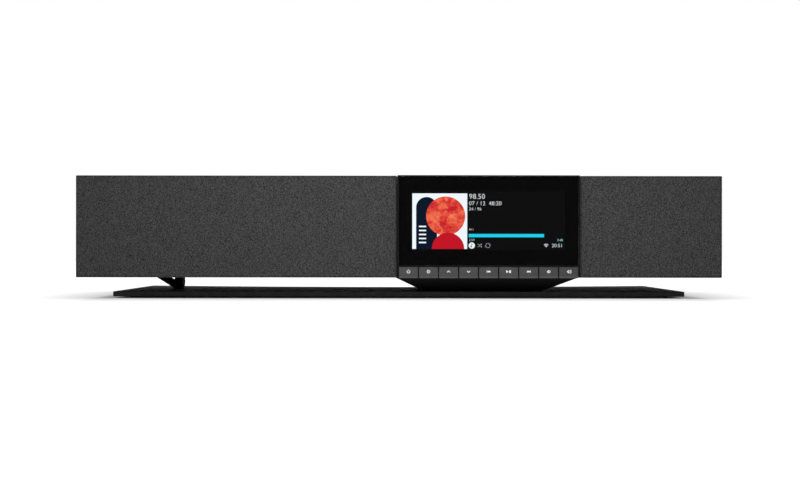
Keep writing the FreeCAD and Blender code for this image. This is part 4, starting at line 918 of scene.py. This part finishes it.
def makeContacts():
    for name, facts in contacts.items():
        _, middle, high = boxIn(f"{name}_socket")
        x = middle.x - facts["pitch"] * (facts["count"] - 1) / 2
        y = high.y - allContacts["setBack"] - facts["deep"] / 2
        size = (facts["wide"], facts["deep"], allContacts["thick"])
        grow(f"{name}_contacts", barTree, barInputs(facts["count"], size, facts["pitch"]),
             [(x, y, middle.z - facts["drop"])], "goldFlash")


# the moulded insert that lines the network socket's well; its top is open for the plug's latch
netLiner = {"wall": 0.3, "width": 11.8, "height": 8.2, "depth": 12.4, "latch": 6.0, "setBack": 0.7}


def makeNetLiner():
    _, (x, _, z), (_, mouth, _) = boxIn("ethernet_socket")
    wide, tall, wall = netLiner["width"] / 2, netLiner["height"] / 2, netLiner["wall"]
    latch = netLiner["latch"] / 2
    deep, front = mouth - netLiner["depth"], mouth - netLiner["setBack"]
    foot, top = z - tall + wall, z + tall - wall
    shape = bmesh.new()
    addSlab(shape, boxPath(x - wide + wall, x + wide - wall, foot, top), deep, deep + wall)
    addSlab(shape, boxPath(x - wide, x + wide, z - tall, foot), deep, front)
    for side in (-1, 1):
        edges = sorted((x + side * wide, x + side * (wide - wall)))
        addSlab(shape, boxPath(*edges, foot, top), deep, front)
        edges = sorted((x + side * wide, x + side * latch))
        addSlab(shape, boxPath(*edges, top, z + tall), deep, front)
    objectFrom(shape, "ethernet_liner", "glassFilledNylon")


# black sleeves over the metal tongues of the other two data sockets
sleeve = {"edge": 1.7, "deep": 9.4, "setBack": 0.88, "skin": 0.12}
tongues = {"usb": {"drop": 1.3, "thick": 1.9}, "hdmi": {"drop": 2.4, "thick": 1.2}}


def makeTongueSleeves():
    skin = sleeve["skin"]
    for name, facts in tongues.items():
        low, _, high = boxIn(f"{name}_socket")
        top = high.z - facts["drop"] + skin
        outline = boxPath(low.x + sleeve["edge"] - skin, high.x - sleeve["edge"] + skin,
                          top - facts["thick"] - 2 * skin, top)
        shape = bmesh.new()
        addSlab(shape, outline, high.y - sleeve["deep"], high.y - sleeve["setBack"])
        objectFrom(shape, f"{name}_tongue_sleeve", "glassFilledNylon")


# behind the vents, a band of slots above the socket bay: two layers of flat threads inside the rear panel
dust = {"width": 188.0, "low": 59.0, "height": 18.0, "pitch": 1.5, "thread": 0.45, "thick": 0.2,
        "inside": 0.3}


def makeDustMesh():
    low = boxIn("rear_panel")[0]
    centre = boxIn("bay_frame")[1].x
    back, foot = low.y - dust["inside"], low.z + dust["low"]
    width, height, pitch = dust["width"], dust["height"], dust["pitch"]
    thread, thick = dust["thread"], dust["thick"]
    grow("dust_mesh_uprights", barTree, barInputs(int(width / pitch), (thread, thick, height), pitch=pitch),
         [(centre - width / 2, back, foot + height / 2)], "dustMesh")
    grow("dust_mesh_crossings", barTree, barInputs(int(height / pitch), (width, thick, thread), up=pitch),
         [(centre, back - thick, foot)], "dustMesh")


makeRearScrews()
makeBaseScrews()
makeContacts()
makeNetLiner()
makeTongueSleeves()
makeDustMesh()
print("screws, contacts and dust mesh grown")


# Floor, light and surroundings

# the paper glows a little for the camera so that it reads white; near the speaker the glow is shaded by it,
# but hardly in front of the plate, between openFrom and openTo; a reflection sees the paper's own light too,
# so mirrored is the small share of the glow that it needs to read white
floorFacts = {"width": 8.0, "front": -1.8, "back": 4.0, "paper": "#dcdcdc", "glowNear": 0.76, "glowFar": 1.0,
              "near": 0.45, "far": 1.1, "shadeReach": 0.12, "shadeDepth": 0.7, "shadeSamples": 8,
              "openFront": 0.85, "openFrom": -0.085, "openTo": -0.1, "mirrored": 0.15}


def makeSeamlessPaper():
    material, tree = startMaterial("seamlessPaper")
    place = objectPlace(tree)
    smooth = {"interpolation_type": "SMOOTHSTEP"}
    reach = addNode(tree, "ShaderNodeVectorMath", {"operation": "LENGTH"}, {0: place})
    glow = addRange(tree, reach["Value"], smooth | {
        "From Min": floorFacts["near"], "From Max": floorFacts["far"],
        "To Min": floorFacts["glowNear"], "To Max": floorFacts["glowFar"]})
    around = addNode(tree, "ShaderNodeAmbientOcclusion",
                     {"samples": floorFacts["shadeSamples"], "Distance": floorFacts["shadeReach"]})
    shade = addMath(tree, "POWER", around["AO"], floorFacts["shadeDepth"])
    split = addNode(tree, "ShaderNodeSeparateXYZ", {}, {"Vector": place})
    ahead = addRange(tree, split["Y"], smooth | {
        "From Min": floorFacts["openTo"], "From Max": floorFacts["openFrom"],
        "To Min": floorFacts["openFront"], "To Max": 0.0})
    shaded = addMath(tree, "MULTIPLY", glow, addMath(tree, "MAXIMUM", shade, ahead))
    seen = addNode(tree, "ShaderNodeLightPath")
    straight = addMath(tree, "MAXIMUM", seen["Is Camera Ray"], seen["Is Transmission Ray"])
    share = addMath(tree, "MULTIPLY", seen["Is Glossy Ray"], floorFacts["mirrored"])
    strength = addMath(tree, "MULTIPLY", shaded, addMath(tree, "MAXIMUM", straight, share))
    paper = addNode(tree, "ShaderNodeBsdfDiffuse", {"Color": linear(floorFacts["paper"])})
    shine = addNode(tree, "ShaderNodeEmission", {}, {"Strength": strength})
    both = addNode(tree, "ShaderNodeAddShader", {}, {0: paper["BSDF"], 1: shine["Emission"]})
    return finishMaterial(material, both["Shader"])


def makeFloor():
    wide, front, back = floorFacts["width"] / 2, floorFacts["front"], floorFacts["back"]
    corners = [(-wide, front, 0), (wide, front, 0), (wide, back, 0), (-wide, back, 0)]
    shape = bmesh.new()
    shape.faces.new([shape.verts.new(corner) for corner in corners])
    floor = addObject("floor", meshFrom(shape, "floor"))
    floor.data.materials.append(makeSeamlessPaper())


lamps = {
    "overhead": {"place": (0.0, 0.15, 1.5), "aim": (0, 0, 0.05), "size": (1.8, 1.4), "power": 12.0},
    "front": {"place": (0.02, -0.56, 0.34), "aim": (0.02, 0, 0.07), "size": (0.4, 0.2), "power": 0.95},
    "low": {"place": (0.0, -1.3, 0.27), "aim": (0, 0, 0.05), "size": (0.8, 0.12), "power": 2.2},
}


def makeLamps():
    for name, facts in lamps.items():
        data = bpy.data.lights.new(name, "AREA")
        data.shape = "RECTANGLE"
        data.size, data.size_y = facts["size"]
        data.energy = facts["power"]
        lamp = addObject(name, data)
        lamp.visible_camera = False
        lamp.location = facts["place"]
        aim = Vector(facts["aim"]) - Vector(facts["place"])
        lamp.rotation_euler = aim.to_track_quat("-Z", "Y").to_euler()


# a white backdrop all round for the camera; reflections see it behind the speaker and a dim room in front
room = {"ambient": 0.16, "backdrop": 1.0, "dimRoom": 0.04, "dimTo": -0.3, "backdropFrom": 0.5}


def makeWorld():
    world = bpy.data.worlds.new("studio")
    world.use_nodes = True
    tree = world.node_tree
    tree.nodes.clear()
    seen = addNode(tree, "ShaderNodeLightPath")
    way = addNode(tree, "ShaderNodeTexCoord")["Generated"]
    split = addNode(tree, "ShaderNodeSeparateXYZ", {}, {"Vector": way})
    mirrored = addRange(tree, split["Y"], {
        "interpolation_type": "SMOOTHSTEP", "From Min": room["dimTo"], "From Max": room["backdropFrom"],
        "To Min": room["dimRoom"], "To Max": room["backdrop"]})
    gloss = addMath(tree, "MAXIMUM", seen["Is Glossy Ray"], seen["Is Transmission Ray"])
    soft = addNode(tree, "ShaderNodeMix", {"data_type": "FLOAT", 2: room["ambient"]},
                   {0: gloss, 3: mirrored})
    strength = addNode(tree, "ShaderNodeMix", {"data_type": "FLOAT", 3: room["backdrop"]},
                       {0: seen["Is Camera Ray"], 2: soft[0]})
    sky = addNode(tree, "ShaderNodeBackground", {"Color": (1, 1, 1, 1)}, {"Strength": strength[0]})
    addNode(tree, "ShaderNodeOutputWorld", links={"Surface": sky["Background"]})
    scene.world = world


makeFloor()
makeLamps()
makeWorld()
scene.view_settings.view_transform = "Standard"
print("studio set")
